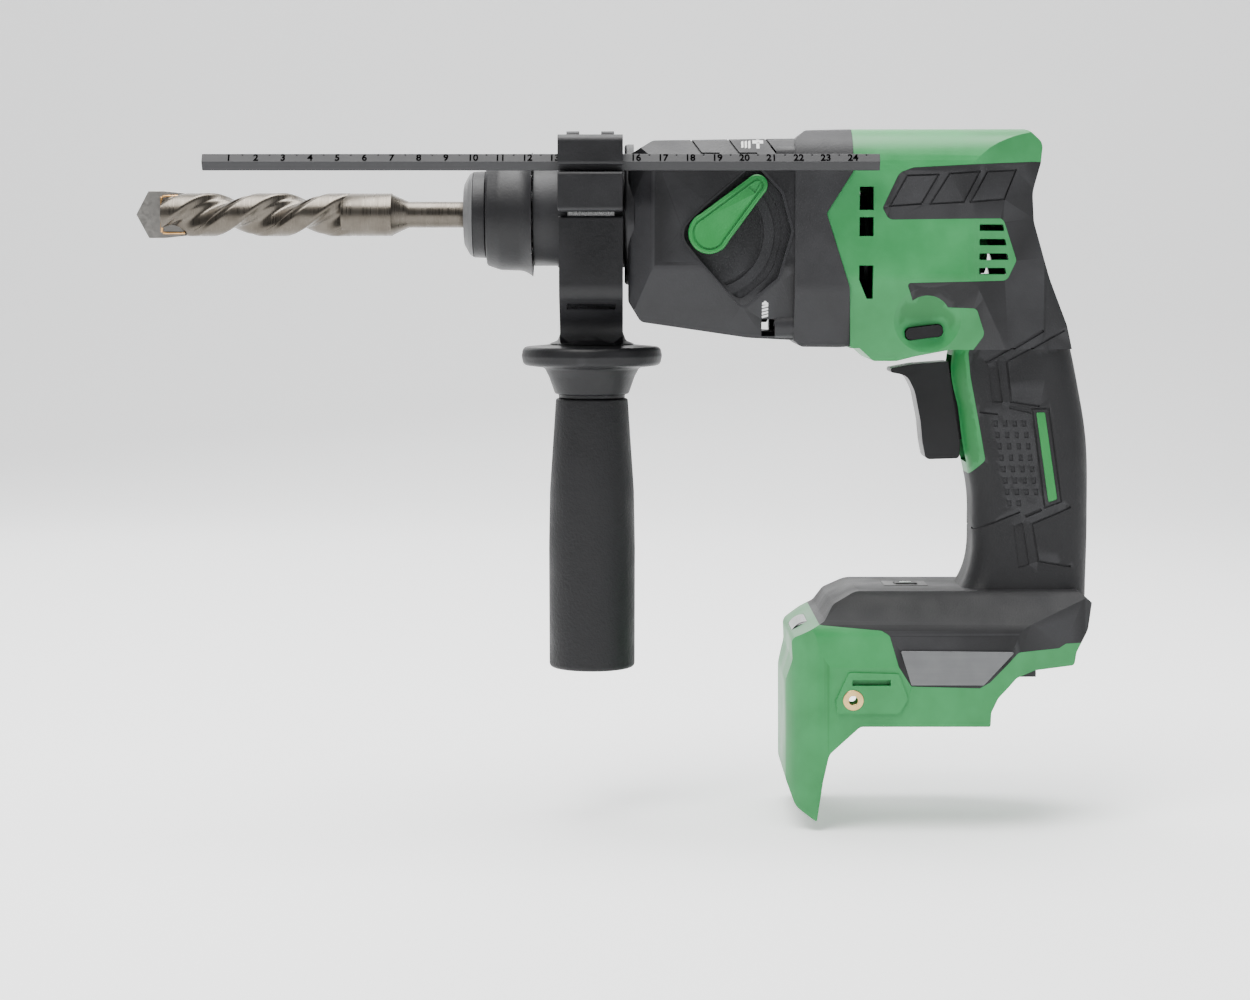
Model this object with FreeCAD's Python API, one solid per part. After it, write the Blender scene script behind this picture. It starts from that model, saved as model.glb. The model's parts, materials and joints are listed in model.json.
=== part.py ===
import FreeCAD, Part
import math
import os

# Cordless rotary hammer, one STEP file per piece, in millimetres.
# Frame: the origin is on the tool axis at the front face of the tool holder, +X runs
# back along the axis towards the hand grip, +Z is up, and -Y is the operator's left.

# ---- driving dimensions ---------------------------------------------------------
JOINT_FRONT = 125.0        # gear cover meets the bumper ring
JOINT_REAR = 146.5         # bumper ring meets the motor housing, on top and below
WEDGE_TIP = 136.7          # where the housing's side wedge ends
TOP = 31.8                 # top of the motor housing
WIDE = 31.6                # half the motor housing's width
SKIN = 1.6                 # thickness of the soft overmould
FOOT_HALF = 38.0           # half the foot's width
COUNTER_Z = -28.0          # height of the intermediate shaft
MOTOR_Z = -11.9            # height of the motor's axis
WOBBLE_X = 113.0           # centre of the wobble bearing
HANDLE_X = 48.8            # axis of the side handle
NOSE_R = 20.2              # collar that carries the side handle
KNOB_X, KNOB_Z = 93.0, -7.3  # pivot of the mode lever
RECESS_R = 30.6            # reach of the recess that the mode lever sweeps
GAP = 0.12                 # assembly gap between pieces that stay together
RUN = 0.05                 # running clearance of a shaft in its hole
THROUGH = 60.0             # half-length of a cut that goes right through

V = FreeCAD.Vector
X_AXIS = V(1, 0, 0)
Y_AXIS = V(0, 1, 0)
Z_AXIS = V(0, 0, 1)
pieces = {}


# ---- helpers ----------------------------------------------------------------------
PLANES = {
    "XZ": (lambda a, b, c: V(a, c, b), Y_AXIS),
    "XY": (lambda a, b, c: V(a, b, c), Z_AXIS),
    "YZ": (lambda a, b, c: V(c, a, b), X_AXIS),
}


def rounded_wire(points, plane="XZ", level=0.0):
    """Closed wire through (a, b, radius) corners: straight runs joined by tangent arcs."""
    place = PLANES[plane][0]
    corners = []
    count = len(points)
    for i, point in enumerate(points):
        here = V(point[0], point[1], 0)
        radius = point[2] if len(point) > 2 else 0
        if not radius:
            corners.append((here, None, here))
            continue
        back = (V(*points[i - 1][:2], 0) - here).normalize()
        ahead = (V(*points[(i + 1) % count][:2], 0) - here).normalize()
        half = math.acos(max(-1.0, min(1.0, back.dot(ahead)))) / 2
        reach = radius / math.tan(half)
        inward = (back + ahead).normalize()
        middle = here + inward * (radius / math.sin(half) - radius)
        corners.append((here + back * reach, middle, here + ahead * reach))
    edges = []
    for i, (start, middle, end) in enumerate(corners):
        if middle is not None:
            arc = [place(p.x, p.y, level) for p in (start, middle, end)]
            edges.append(Part.Arc(*arc).toShape())
        follow = corners[(i + 1) % count][0]
        if (follow - end).Length > 1e-6:
            run = [place(p.x, p.y, level) for p in (end, follow)]
            edges.append(Part.makeLine(*run))
    return Part.Wire(edges)


def plate(points, low, high, plane="XZ"):
    """A rounded outline extruded from low to high across its plane."""
    face = Part.Face(rounded_wire(points, plane, low))
    return face.extrude(PLANES[plane][1] * (high - low))


def turned(points, z=0.0, y=0.0):
    """(x, radius, corner) profile turned about an axis along X."""
    wire = rounded_wire([(p[0], p[1] + z, *p[2:]) for p in points], "XZ", y)
    return Part.Face(wire).revolve(V(0, y, z), X_AXIS, 360)


def turned_up(points, x=0.0, y=0.0):
    """(radius, z, corner) profile turned about an upright axis at x, y."""
    wire = rounded_wire([(p[0] + x, p[1], *p[2:]) for p in points], "XZ", y)
    return Part.Face(wire).revolve(V(x, y, 0), Z_AXIS, 360)


def rod_x(radius, low, high, y=0.0, z=0.0):
    return Part.makeCylinder(radius, high - low, V(low, y, z), X_AXIS)


def rod_y(radius, low, high, x, z):
    return Part.makeCylinder(radius, high - low, V(x, low, z), Y_AXIS)


def rod_z(radius, low, high, x, y):
    return Part.makeCylinder(radius, high - low, V(x, y, low), Z_AXIS)


def tube_x(outer, inner, low, high, y=0.0, z=0.0):
    return rod_x(outer, low, high, y, z).cut(rod_x(inner, low - 1, high + 1, y, z))


def tube_y(outer, inner, low, high, x, z):
    return rod_y(outer, low, high, x, z).cut(rod_y(inner, low - 1, high + 1, x, z))


def stroke(points, width):
    """Straight cuts of one width through (x, z) points, open to the left."""
    runs = []
    for (x0, z0), (x1, z1) in zip(points, points[1:]):
        start = V(x0, 0, z0)
        end = V(x1, 0, z1)
        along = (end - start).normalize() * (width / 2)
        side = V(-along.z, 0, along.x)
        corners = [start - along + side, end + along + side, end + along - side, start - along - side]
        runs.append(plate([(c.x, c.z) for c in corners], -THROUGH, -6.0))
    return runs[0].fuse(runs[1:]) if len(runs) > 1 else runs[0]


def block(x0, x1, y0, y1, z0, z1):
    return Part.makeBox(x1 - x0, y1 - y0, z1 - z0, V(x0, y0, z0))


def mirrored(shape):
    """The same piece on the other side of the tool's middle plane."""
    return shape.mirror(V(0, 0, 0), Y_AXIS)


def both_sides(shape):
    return Part.makeCompound([shape, mirrored(shape)])


def filleted(shape, radius, wanted=None):
    """Round every edge of a solid, or only those that wanted(edge) picks."""
    edges = [e for e in shape.Edges if wanted is None or wanted(e)]
    return shape.makeFillet(radius, edges)


def ball_bearing(x0, x1, inner, outer, z, balls):
    """Races and balls of a deep-groove bearing, as separate solids."""
    mid = (inner + outer) / 2
    ball = (outer - inner) * 0.27
    centre = (x0 + x1) / 2
    groove = Part.makeTorus(mid, ball + 0.03, V(centre, 0, z), X_AXIS)
    inside = tube_x(mid - ball * 0.45, inner, x0, x1, 0, z).cut(groove)
    outside = tube_x(outer, mid + ball * 0.45, x0, x1, 0, z).cut(groove)
    rolling = []
    for i in range(balls):
        turn = 2 * math.pi * i / balls
        place = V(centre, mid * math.sin(turn), z + mid * math.cos(turn))
        rolling.append(Part.makeSphere(ball, place))
    return Part.makeCompound([inside, outside] + rolling)


def spur_gear(module, teeth, x0, x1, z, bore, tooth_up, addendum=0.8, backlash=0.14):
    """Involute spur gear on an axis along X. tooth_up puts a tooth, or else a gap, at +Z."""
    pitch = module * teeth / 2
    base = pitch * math.cos(math.radians(20))
    tip = pitch + addendum * module
    root = pitch - (addendum + 0.3) * module
    start = max(base, root)

    def spread(radius):
        turn = math.acos(min(1.0, base / radius))
        return math.tan(turn) - turn

    half = math.pi / (2 * teeth) - backlash / (2 * pitch) + spread(pitch)

    def at(radius, angle):
        return V(x0, radius * math.sin(angle), z + radius * math.cos(angle))

    edges = []
    step = 2 * math.pi / teeth
    radii = [start + (tip - start) * i / 3 for i in range(4)]
    for i in range(teeth):
        centre = i * step + (0 if tooth_up else step / 2)
        rise = [at(r, centre - half + spread(r)) for r in radii]
        fall = [at(r, centre + half - spread(r)) for r in reversed(radii)]
        foot_in = at(root, centre - half + spread(start))
        foot_out = at(root, centre + half - spread(start))
        if base > root:
            edges.append(Part.makeLine(foot_in, rise[0]))
        for flank in (rise, fall):
            curve = Part.BSplineCurve()
            curve.interpolate(flank)
            edges.append(curve.toShape())
            if flank is rise:
                edges.append(Part.Arc(rise[-1], at(tip, centre), fall[0]).toShape())
        if base > root:
            edges.append(Part.makeLine(fall[-1], foot_out))
        valley = at(root, centre + step / 2)
        follow = at(root, centre + step - half + spread(start))
        edges.append(Part.Arc(foot_out, valley, follow).toShape())
    blank = Part.Face(Part.Wire(edges)).extrude(V(x1 - x0, 0, 0))
    return blank.cut(rod_x(bore, x0 - 1, x1 + 1, 0, z)) if bore else blank


def spring(radius, wire, low, high, turns, place, direction):
    """Closed-end coil drawn as stacked rings joined by nothing: one ring per turn."""
    rings = []
    for i in range(turns):
        along = low + wire + (high - low - 2 * wire) * i / (turns - 1)
        rings.append(Part.makeTorus(radius, wire, place + direction * along, direction))
    return Part.makeCompound(rings)


# ---- drill bit ----------------------------------------------------------------------
BIT_R = 8.3
SHANK_R = 5.0
FLUTE_START, FLUTE_END = -115.5, -44.0
FLUTE_LEAD = 55.0


def flute_section(x, turn):
    """Two wide lands, two low lands and four valleys, as a polygon at x."""
    radii = [BIT_R, BIT_R - 0.2, 4.9, 4.3, 6.2, 4.3, 4.4, 7.0]
    points = []
    for i in range(16):
        angle = math.radians(22.5 * i - 11) + turn
        points.append(V(x, radii[i % 8] * math.sin(angle), radii[i % 8] * math.cos(angle)))
    return Part.makePolygon(points + points[:1])


def make_bit():
    sections = []
    steps = 28
    for i in range(steps + 1):
        x = FLUTE_START + (FLUTE_END - FLUTE_START) * i / steps
        turn = 2 * math.pi * (x - FLUTE_START) / FLUTE_LEAD
        sections.append(flute_section(x, -turn))
    fluted = Part.makeLoft(sections, True, True)
    shank = turned([
        (FLUTE_END - 1.5, 0), (FLUTE_END - 1.5, BIT_R), (-27.5, BIT_R, 1.0),
        (-21.8, SHANK_R, 2.5), (50.6, SHANK_R), (52.0, 3.8), (52.0, 0),
    ])
    for side in (0, 180):
        ball_seat = rod_x(1.9, 22.0, 33.0, 0, SHANK_R + 0.5)
        keyway = block(12.0, 54.0, SHANK_R - 1.4, SHANK_R + 2, -1.4, 1.4)
        for tool in (ball_seat, keyway):
            tool.rotate(V(0, 0, 0), X_AXIS, side)
            shank = shank.cut(tool)
    slot = block(-117, -107, -1.85, 1.85, -10, 10)
    body = fluted.fuse(shank).cut(slot).removeSplitter()
    tip = plate([
        (-107.2, -8.2), (-107.2, 8.2), (-115.0, 9.0), (-121.0, 9.0, 0.5),
        (-125.8, 0), (-121.0, -9.0, 0.5), (-115.0, -9.0),
    ], -1.8, 1.8)
    return body, tip


# ---- tool holder and striking train ---------------------------------------------------
def make_spindle():
    """Rotating barrel: the bit socket in front and the air cylinder behind."""
    barrel = turned([
        (4.0, 5.05), (4.0, 9.0), (6.5, 10.5), (28.0, 10.5), (28.0, 12.5), (62.0, 12.5),
        (62.0, 13.0), (77.5, 13.0), (77.5, 14.4), (79.8, 14.4), (79.8, 13.0),
        (107.0, 13.0), (107.0, 10.5), (64.0, 10.5), (64.0, 8.0), (53.0, 8.0),
        (53.0, 5.05),
    ])
    keys = []
    for side in (1, -1):
        key = block(14.0, 48.0, SHANK_R - 1.25, SHANK_R + 1.2, -1.25, 1.25)
        keys.append(key if side > 0 else mirrored(key))
        seat = rod_z(1.75, 4.0, 14.0, 27.0, 0)
        barrel = barrel.cut(seat if side > 0 else seat.mirror(V(0, 0, 0), Z_AXIS))
    return barrel.fuse(keys).removeSplitter()


def make_holder_parts():
    pieces["tool_holder_barrel"] = make_spindle()
    pieces["dust_cap"] = turned([
        (0.0, 5.6), (0.0, 11.6, 1.6), (2.0, 15.2, 1.5), (3.6, 16.4), (3.6, 5.6),
    ])
    pieces["front_retaining_collar"] = turned([
        (3.8, 16.4), (8.4, 16.6, 0.4), (8.4, 13.4), (7.0, 10.6), (5.9, 10.62),
        (3.8, 10.62),
    ])
    pieces["chuck_sleeve"] = turned([
        (8.7, 17.0), (8.7, 19.4, 1.2), (14.0, 21.2, 6), (24.0, 21.5, 8), (24.4, 21.9, 0.2),
        (26.0, 21.9, 0.5), (26.0, 20.0), (15.4, 20.0), (14.4, 19.0), (14.4, 17.0),
    ])
    pieces["chuck_spring"] = spring(14.2, 0.8, 22.0, 31.4, 4, V(0, 0, 0), X_AXIS)
    pieces["chuck_release_ring"] = turned([
        (8.8, 12.6), (8.8, 16.8), (14.2, 16.8), (14.2, 12.6),
    ])
    pieces["lock_balls"] = Part.makeCompound([
        Part.makeSphere(1.7, V(27.0, 0, side * 6.55)) for side in (1, -1)
    ])
    bolt = turned([
        (53.2, 0), (53.2, 5.6, 0.6), (57.0, 7.94), (61.0, 7.94), (62.5, 6.0),
        (63.8, 6.0, 0.6), (63.8, 0),
    ])
    pieces["impact_bolt"] = bolt
    striker = turned([
        (67.5, 0), (67.5, 6.5, 1.0), (70.0, 6.5), (73.0, 10.44), (76.0, 10.44),
        (76.0, 8.7), (78.6, 8.7), (78.6, 10.44), (84.0, 10.44, 0.5), (84.0, 0),
    ])
    pieces["striker"] = striker
    pieces["striker_seal"] = turned([
        (76.1, 8.75), (76.1, 10.42, 0.5), (78.5, 10.42, 0.5), (78.5, 8.75),
    ])
    piston = turned([
        (93.0, 0), (93.0, 10.42, 0.4), (118.0, 10.42, 0.4), (118.0, 0),
    ])
    piston = piston.cut([
        block(103.0, 130.0, -5.2, 5.2, -12, 12),
        rod_y(3.05, -12, 12, WOBBLE_X, 0),
    ])
    pieces["piston"] = piston
    pin = rod_y(3.0, -9.4, 9.4, WOBBLE_X, 0).cut(rod_z(2.35, -5, 5, WOBBLE_X, 0))
    pieces["piston_pin"] = pin
    pieces["spindle_gear"] = spur_gear(1.0, 43, 80.0, 89.0, 0, 13.0 + RUN, False)
    pieces["spindle_gear"].rotate(V(0, 0, 0), X_AXIS, 180)
    pieces["spindle_front_bearing"] = ball_bearing(40.0, 49.0, 12.5 + RUN, 17.0, 0, 12)
    pieces["oil_seal"] = turned([
        (32.0, 12.55), (32.0, 17.0), (37.0, 17.0), (37.0, 15.4), (34.0, 15.4),
        (34.0, 12.55),
    ])
    pieces["spindle_rear_bush"] = tube_x(17.0, 13.0 + RUN, 96.0, 105.0)


# ---- intermediate shaft -----------------------------------------------------------------
def make_counter_parts():
    z = COUNTER_Z
    shaft = turned([
        (66.5, 0), (66.5, 3.5), (72.5, 3.5), (72.5, 4.0), (134.0, 4.0), (134.0, 3.5),
        (141.5, 3.5), (141.5, 0),
    ], z)
    pieces["intermediate_shaft"] = shaft
    pieces["drive_pinion"] = spur_gear(1.0, 13, 76.0, 91.0, z, 4.0 + RUN, True)
    pieces["clutch_sleeve"] = turned([
        (95.5, 4.08), (95.5, 8.0), (99.0, 8.0), (99.0, 6.2), (102.0, 6.2),
        (102.0, 8.0), (104.5, 8.0), (104.5, 4.08),
    ], z)
    hub = turned([
        (WOBBLE_X - 6.5, 4.0 + RUN), (WOBBLE_X - 6.5, 6.0), (WOBBLE_X - 3.5, 8.2, 0.5),
        (WOBBLE_X + 3.5, 8.2, 0.5), (WOBBLE_X + 6.5, 6.0), (WOBBLE_X + 6.5, 4.0 + RUN),
    ], z)
    groove = Part.makeTorus(9.1, 2.05, V(WOBBLE_X, 0, z), X_AXIS)
    pieces["wobble_hub"] = hub.cut(groove)
    balls = []
    for i in range(9):
        turn = 2 * math.pi * (i + 0.5) / 9
        centre = V(WOBBLE_X, 9.1 * math.sin(turn), z + 9.1 * math.cos(turn))
        balls.append(Part.makeSphere(1.55, centre))
    pieces["wobble_balls"] = Part.makeCompound(balls)
    ring = turned([
        (WOBBLE_X - 3.4, 11.3), (WOBBLE_X - 3.4, 13.2, 0.8), (WOBBLE_X + 3.4, 13.2, 0.8),
        (WOBBLE_X + 3.4, 11.3),
    ], z)
    finger = turned_up([
        (0, z + 12.6), (3.2, z + 12.6), (3.0, -11.5), (2.0, -7.5), (1.3, -5.0),
        (1.3, 3.6, 0.5), (0, 3.6),
    ], WOBBLE_X)
    pieces["wobble_ring"] = ring.fuse(finger).removeSplitter()
    gear = spur_gear(0.7, 37, 126.5, 132.0, z, 4.0 + RUN, True)
    gear.rotate(V(0, 0, z), X_AXIS, 180.0 / 37)
    pieces["first_gear"] = gear
    pieces["shaft_front_bearing"] = tube_x(6.5, 3.5 + RUN, 66.0, 72.0, 0, z)
    pieces["shaft_rear_bearing"] = ball_bearing(134.6, 140.6, 3.5 + RUN, 8.0, z, 7)


# ---- motor ---------------------------------------------------------------------------------
def make_motor_parts():
    z = MOTOR_Z
    shaft = turned([
        (133.0, 0), (133.0, 2.5), (137.4, 2.5), (137.4, 3.0), (201.5, 3.0), (201.5, 0),
    ], z)
    pinion = spur_gear(0.7, 9, 125.0, 133.0, z, 0, True)
    pinion.rotate(V(0, 0, z), X_AXIS, 180)
    pieces["rotor_shaft"] = shaft.fuse(pinion).removeSplitter()
    core = tube_x(11.0, 3.0 + RUN, 162.0, 186.0, 0, z)
    pieces["rotor_core"] = core
    magnets = []
    for i in range(4):
        arc = tube_x(12.6, 11.05, 163.0, 185.0, 0, z)
        cutter = plate([(0, 0), (16, 9.6), (16, -9.6)], 160, 190, "YZ")
        cutter.translate(V(0, 0, z))
        cutter.rotate(V(0, 0, z), X_AXIS, 45 + 90 * i)
        magnets.append(arc.common(cutter))
    pieces["rotor_magnets"] = Part.makeCompound(magnets)
    blades = []
    for i in range(11):
        blade = block(146.4, 152.0, -0.6, 0.6, z + 7.0, z + 19.0)
        blade.rotate(V(0, 0, z), X_AXIS, 360.0 * i / 11)
        blades.append(blade)
    disc = tube_x(20.0, 3.0 + RUN, 152.0, 153.6, 0, z)
    boss = tube_x(6.5, 3.0 + RUN, 148.0, 152.1, 0, z)
    pieces["cooling_fan"] = disc.fuse([boss] + blades).removeSplitter()
    stack = tube_x(23.5, 20.0, 162.5, 185.5, 0, z)
    teeth = []
    coils = []
    for i in range(6):
        tooth = block(162.5, 185.5, -2.4, 2.4, z + 13.2, z + 20.6)
        coil = block(159.8, 188.2, -4.6, 4.6, z + 14.4, z + 19.0)
        coil = coil.cut(block(162.4, 185.6, -2.5, 2.5, z + 12, z + 21))
        for shape, group in ((tooth, teeth), (coil, coils)):
            shape.rotate(V(0, 0, z), X_AXIS, 60.0 * i)
            group.append(shape)
    pieces["stator_stack"] = stack.fuse(teeth).removeSplitter()
    pieces["stator_coils"] = Part.makeCompound(coils)
    pieces["motor_front_bearing"] = ball_bearing(138.4, 144.0, 3.0 + RUN, 7.8, z, 8)
    pieces["motor_rear_bearing"] = ball_bearing(193.5, 199.5, 3.0 + RUN, 8.0, z, 8)


# ---- casings ---------------------------------------------------------------------------------
def gear_cover_form(inset):
    """Outer form of the gear cover, or a smaller copy of it set in all round."""
    d = inset
    side = plate([
        (62.8 + d, 21.5 - d, 1), (72.0 + d, 27.2 - d, 4), (JOINT_FRONT, 28.0 - d),
        (JOINT_FRONT, -47.5 + d), (108.0, -46.6 + d, 30), (67.5 + d, -40.6 + d, 3),
        (62.8 + d, -33.0 + d, 3),
    ], -THROUGH, THROUGH)
    half = 31.5 - d
    section = plate([
        (-half + 6.5, 28.0 - d, 3), (half - 6.5, 28.0 - d, 3), (half, 20.5 - d, 2),
        (half, -20.0, 12), (half - 9, -48 + d, 4), (-half + 9, -48 + d, 4),
        (-half, -20.0, 12), (-half, 20.5 - d, 2),
    ], 50, 130, "YZ")
    plan = plate([
        (62.6 + d, -half + 7, 4), (72.0 + d, -half, 4), (130, -half), (130, half),
        (72.0 + d, half, 4), (62.6 + d, half - 7, 4),
    ], -THROUGH, THROUGH, "XY")
    return side.common(section).common(plan)


def knob_recess(radius, depth):
    """Sector-shaped pocket that the mode lever sweeps, open to the left."""
    reach = radius
    low, high = math.radians(-66), math.radians(57)
    points = [(KNOB_X + reach * math.cos(a), KNOB_Z + reach * math.sin(a), 3) for a in
              (low, low / 2, 0.02, high / 2, high)]
    lead = 9.4 + (radius - RECESS_R)
    points.append((KNOB_X - 2, KNOB_Z + lead, 4))
    points.append((KNOB_X - lead - 2, KNOB_Z, 6))
    points.append((KNOB_X - 4, KNOB_Z - lead, 4))
    return plate(points, -40, -31.5 + depth)


def chamfer_grooves():
    """Slanted lines cut in the cover's two top chamfers."""
    lines = []
    for x in (84.5, 98.5, 112.5):
        lines.append(stroke([(x, 30.0), (x + 5.6, 22.2), (x + 12.0, 22.2)], 0.7))
    skin = gear_cover_form(0).cut(gear_cover_form(0.45))
    left = Part.makeCompound(lines).common(skin)
    return [left, mirrored(left)]


def make_gear_cover():
    cavity = gear_cover_form(2.7)
    body = gear_cover_form(0).cut(cavity)
    boss = rod_x(9.0, 64.5, 72.0, 0, COUNTER_Z)
    web = block(96.5, 104.5, -40, 40, -60, 40).common(gear_cover_form(1.0))
    web = web.cut([rod_x(17.0 + RUN, 90, 110), rod_x(9.5, 90, 110, 0, COUNTER_Z),
                   block(90, 110, -26.0, -18.5, -20, 5)])
    nose = turned([
        (26.6, 18.6), (26.6, 19.6, 0.5), (35.8, 19.6), (35.8, NOSE_R), (61.4, NOSE_R), (61.4, 26.8, 1.2),
        (65.0, 26.8), (65.0, 17.4), (31.5, 17.4), (31.5, 18.6),
    ])
    shell = body.fuse([boss.common(gear_cover_form(0.5)), nose, web])
    pocket = knob_recess(RECESS_R, 3.4)
    backing = knob_recess(RECESS_R + 2.6, 6.2).common(gear_cover_form(0)).cut(pocket)
    rim = knob_recess(RECESS_R + 1.1, 0.3).common(block(50, 124.6, -32.0, -31.2, -60, 30)).cut(pocket)
    tracks = tube_y(27.2, 24.2, -28.6, -27.3, KNOB_X, KNOB_Z).fuse(
        tube_y(20.6, 19.2, -28.6, -27.3, KNOB_X, KNOB_Z))
    tracks = tracks.common(knob_recess(RECESS_R - 2.6, 6.0))
    shell = shell.fuse([backing, rim]).cut(tracks)
    shell = shell.cut(chamfer_grooves())
    shell = shell.cut([
        rod_x(17.0 + RUN, 31.0, 66.0), pocket,
        rod_y(5.3, -40, -20, KNOB_X, KNOB_Z),
        rod_x(6.5 + RUN, 65.8, 74.0, 0, COUNTER_Z),
        tube_x(17.4, 12.9, 26.0, 31.6),
    ])
    screws = screw_places()
    for y, z in screws:
        lug = rod_x(4.6, 118.0, JOINT_FRONT, y, z)
        shell = shell.fuse(lug)
    for y, z in screws:
        shell = shell.cut([rod_x(4.1, 113.0, 121.5, y, z), rod_x(2.15, 110.0, 130.0, y, z)])
    solids = sorted(shell.Solids, key=lambda s: -s.Volume)
    return solids[0]


def screw_places():
    """Where the four screws that hold the gear cover run, as (y, z)."""
    return [(-25.5, 21.0), (25.5, 21.0), (-22.0, -42.0), (22.0, -42.0)]


def wedge(gap):
    """Everything behind the line where the bumper ring meets the housing."""
    return plate([
        (JOINT_REAR + gap, 60), (JOINT_REAR + gap, 15.5, 1.5), (WEDGE_TIP + gap, 0, 1),
        (JOINT_REAR - 1 + gap, -27.5, 1.5), (JOINT_REAR + gap, -58), (100, -62), (100, -260),
        (260, -260), (260, 60),
    ], -THROUGH, THROUGH)


def collar_form(inset):
    d = inset
    side = plate([
        (JOINT_FRONT, 27.5 - d, 1), (JOINT_FRONT + 4, TOP - 0.6 - d, 3), (150, TOP - d),
        (150, -49.5 + d), (JOINT_REAR - 4, -50.2 + d, 4), (JOINT_FRONT + 3, -50.0 + d, 3),
        (JOINT_FRONT, -47.5 + d, 1),
    ], -THROUGH, THROUGH)
    half = 32.2 - d
    section = plate([
        (-half, TOP - d, 16 - d), (half, TOP - d, 16 - d), (half, -28, 12),
        (half - 8, -50.4 + d, 5), (-half + 8, -50.4 + d, 5), (-half, -28, 12),
    ], 120, 160, "YZ")
    return side.common(section)


def make_bumper_ring():
    ring = collar_form(0).cut([collar_form(3.2), wedge(0.0)])
    for y, z in screw_places():
        ring = ring.cut(rod_x(2.4, 120, 150, y, z))
    return sorted(ring.Solids, key=lambda s: -s.Volume)[0]


def make_inner_cover():
    """Plate between gear case and motor, with seats for both shafts' bearings."""
    web = collar_form(3.4).common(block(133.0, 136.4, -60, 60, -60, 60))
    motor_seat = rod_x(10.4, 136.0, 144.6, 0, MOTOR_Z)
    shaft_seat = rod_x(10.4, 134.0, 141.0, 0, COUNTER_Z)
    cover = web.fuse([motor_seat, shaft_seat])
    return cover.cut([
        rod_x(7.8, 138.3, 146.0, 0, MOTOR_Z),
        rod_x(4.2, 130.0, 146.0, 0, MOTOR_Z),
        rod_x(8.0, 134.5, 146.0, 0, COUNTER_Z).cut(rod_x(10.0, 141.0, 150.0, 0, COUNTER_Z)),
        rod_x(4.3, 130.0, 140.0, 0, COUNTER_Z),
    ] + [rod_x(2.4, 130, 140, y, z) for y, z in screw_places()])


# ---- motor housing, grip and foot -------------------------------------------------------------
SHELL = 3.4                # overmould and hard shell together
HOUSING_SCREWS = [(153.5, 23.0, 22), (207.0, 23.0, 16), (153.5, -45.0, 20), (209.0, -34.0, 13),
                  (231.0, -104.0, 8), (200.0, -118.0, 8), (227.0, -152.0, 14), (140.0, -160.0, 24)]


def barrel_form(d):
    """Motor housing, set in by d."""
    r = max(0.6, 4 - 1.1 * d)
    side = plate([
        (WEDGE_TIP - 4, TOP - d), (212.5 - d / 2, TOP - d, r), (218.8 - d, 26.5 - d, r),
        (218.0 - d, 19.0, r / 2), (214.8 - d, 8.0, 12), (215.5 - d, -3.0, 10),
        (222.0 - d, -24.0, 30), (229.0 - d, -42.0), (231.0 - d, -51.0 + d),
        (184.0, -51.0 + d, 6), (171.0, -53.5 + d, 6), (164.0, -55.3 + d, 3),
        (155.2 + d / 2, -55.3 + d, r / 2), (149.8 + d / 2, -50.4 + d, r / 3),
        (WEDGE_TIP - 4, -50.4 + d),
    ], -THROUGH, THROUGH)
    half = WIDE - d
    section = plate([
        (-half, TOP - d, 16 - d), (half, TOP - d, 16 - d), (half, -24, 14),
        (24.5 - d, -58 + d, 8), (-24.5 + d, -58 + d, 8), (-half, -24, 14),
    ], 120, 260, "YZ")
    plan = plate([
        (120, -half), (192, -half, 20), (222, -18.5 + d, 12), (245, -18.5 + d),
        (245, 18.5 - d), (222, 18.5 - d, 12), (192, half, 20), (120, half),
    ], -THROUGH, THROUGH, "XY")
    return side.common(section).common(plan)


def grip_form(d):
    """Hand grip, set in by d: (height, front, rear, half width) from top to bottom."""
    levels = [
        (-24, 196.0, 221.6, 18.6), (-36, 192.0, 227.2, 18.2), (-48, 188.0, 231.6, 17.6),
        (-62, 186.4, 234.9, 17.0), (-78, 189.6, 238.0, 16.8), (-90, 191.4, 239.4, 16.8),
        (-100, 193.6, 239.8, 16.8), (-112, 195.0, 239.9, 16.8), (-130, 194.8, 239.8, 17.2),
        (-140, 192.0, 239.4, 18.4), (-149, 186.0, 238.8, 21.0), (-158, 178.0, 237.0, 23.0),
    ]
    wires = []
    for z, front, rear, half in levels:
        wires.append(rounded_wire([
            (front + d, -half + d, 9.5 - d), (front + d, half - d, 9.5 - d),
            (rear - d, half - d, 13.5 - d), (rear - d, -half + d, 13.5 - d),
        ], "XY", z))
    return Part.makeLoft(wires, True, False)


def foot_form(d):
    """Foot with the battery guard at its front, set in by d."""
    side = plate([
        (136.8 + d / 2, -152.8 - d, 3), (140.3, -147.1 - d, 4), (149.0, -142.6 - d, 8),
        (234.0 - d, -142.6 - d), (239.0 - d, -147.0 - d), (237.4 - d, -157.0, 6),
        (232.8 - d, -165.5, 2), (232.0 - d, -170.4 + d, 1.5), (216.0 - d, -171.5 + d, 3),
        (209.0 - d, -174.0 + d, 4), (202.0 - d, -181.5 + d, 5), (199.4 - d, -187.0 + d, 3),
        (199.2 - d, -192.4 + d, 0.8), (150.2, -192.4, 3), (138.6, -203.0, 5),
        (136.4, -213.0, 12), (134.1, -229.0, 0.6), (126.3, -223.8, 6), (122.8 + d, -214.4, 8),
        (122.5 + d, -177.0, 8), (125.0 + d, -168.0, 6), (124.6 + d, -160.0 - d, 3),
    ], -THROUGH, THROUGH)
    half = FOOT_HALF - d
    section = plate([
        (-24, -142.0 - d, 8), (24, -142.0 - d, 8), (half - 1.5, -156, 8), (half, -170, 6),
        (half, -240), (-half, -240), (-half, -170, 6), (-half + 1.5, -156, 8),
    ], 110, 250, "YZ")
    plan = plate([
        (122 + d, -half, 18 - d), (206, -half, 14), (241 - d, -25 + d, 9 - d),
        (241 - d, 25 - d, 9 - d), (206, half, 14), (122 + d, half, 18 - d),
    ], -240, -130, "XY")
    return side.common(section).common(plan)


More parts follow.
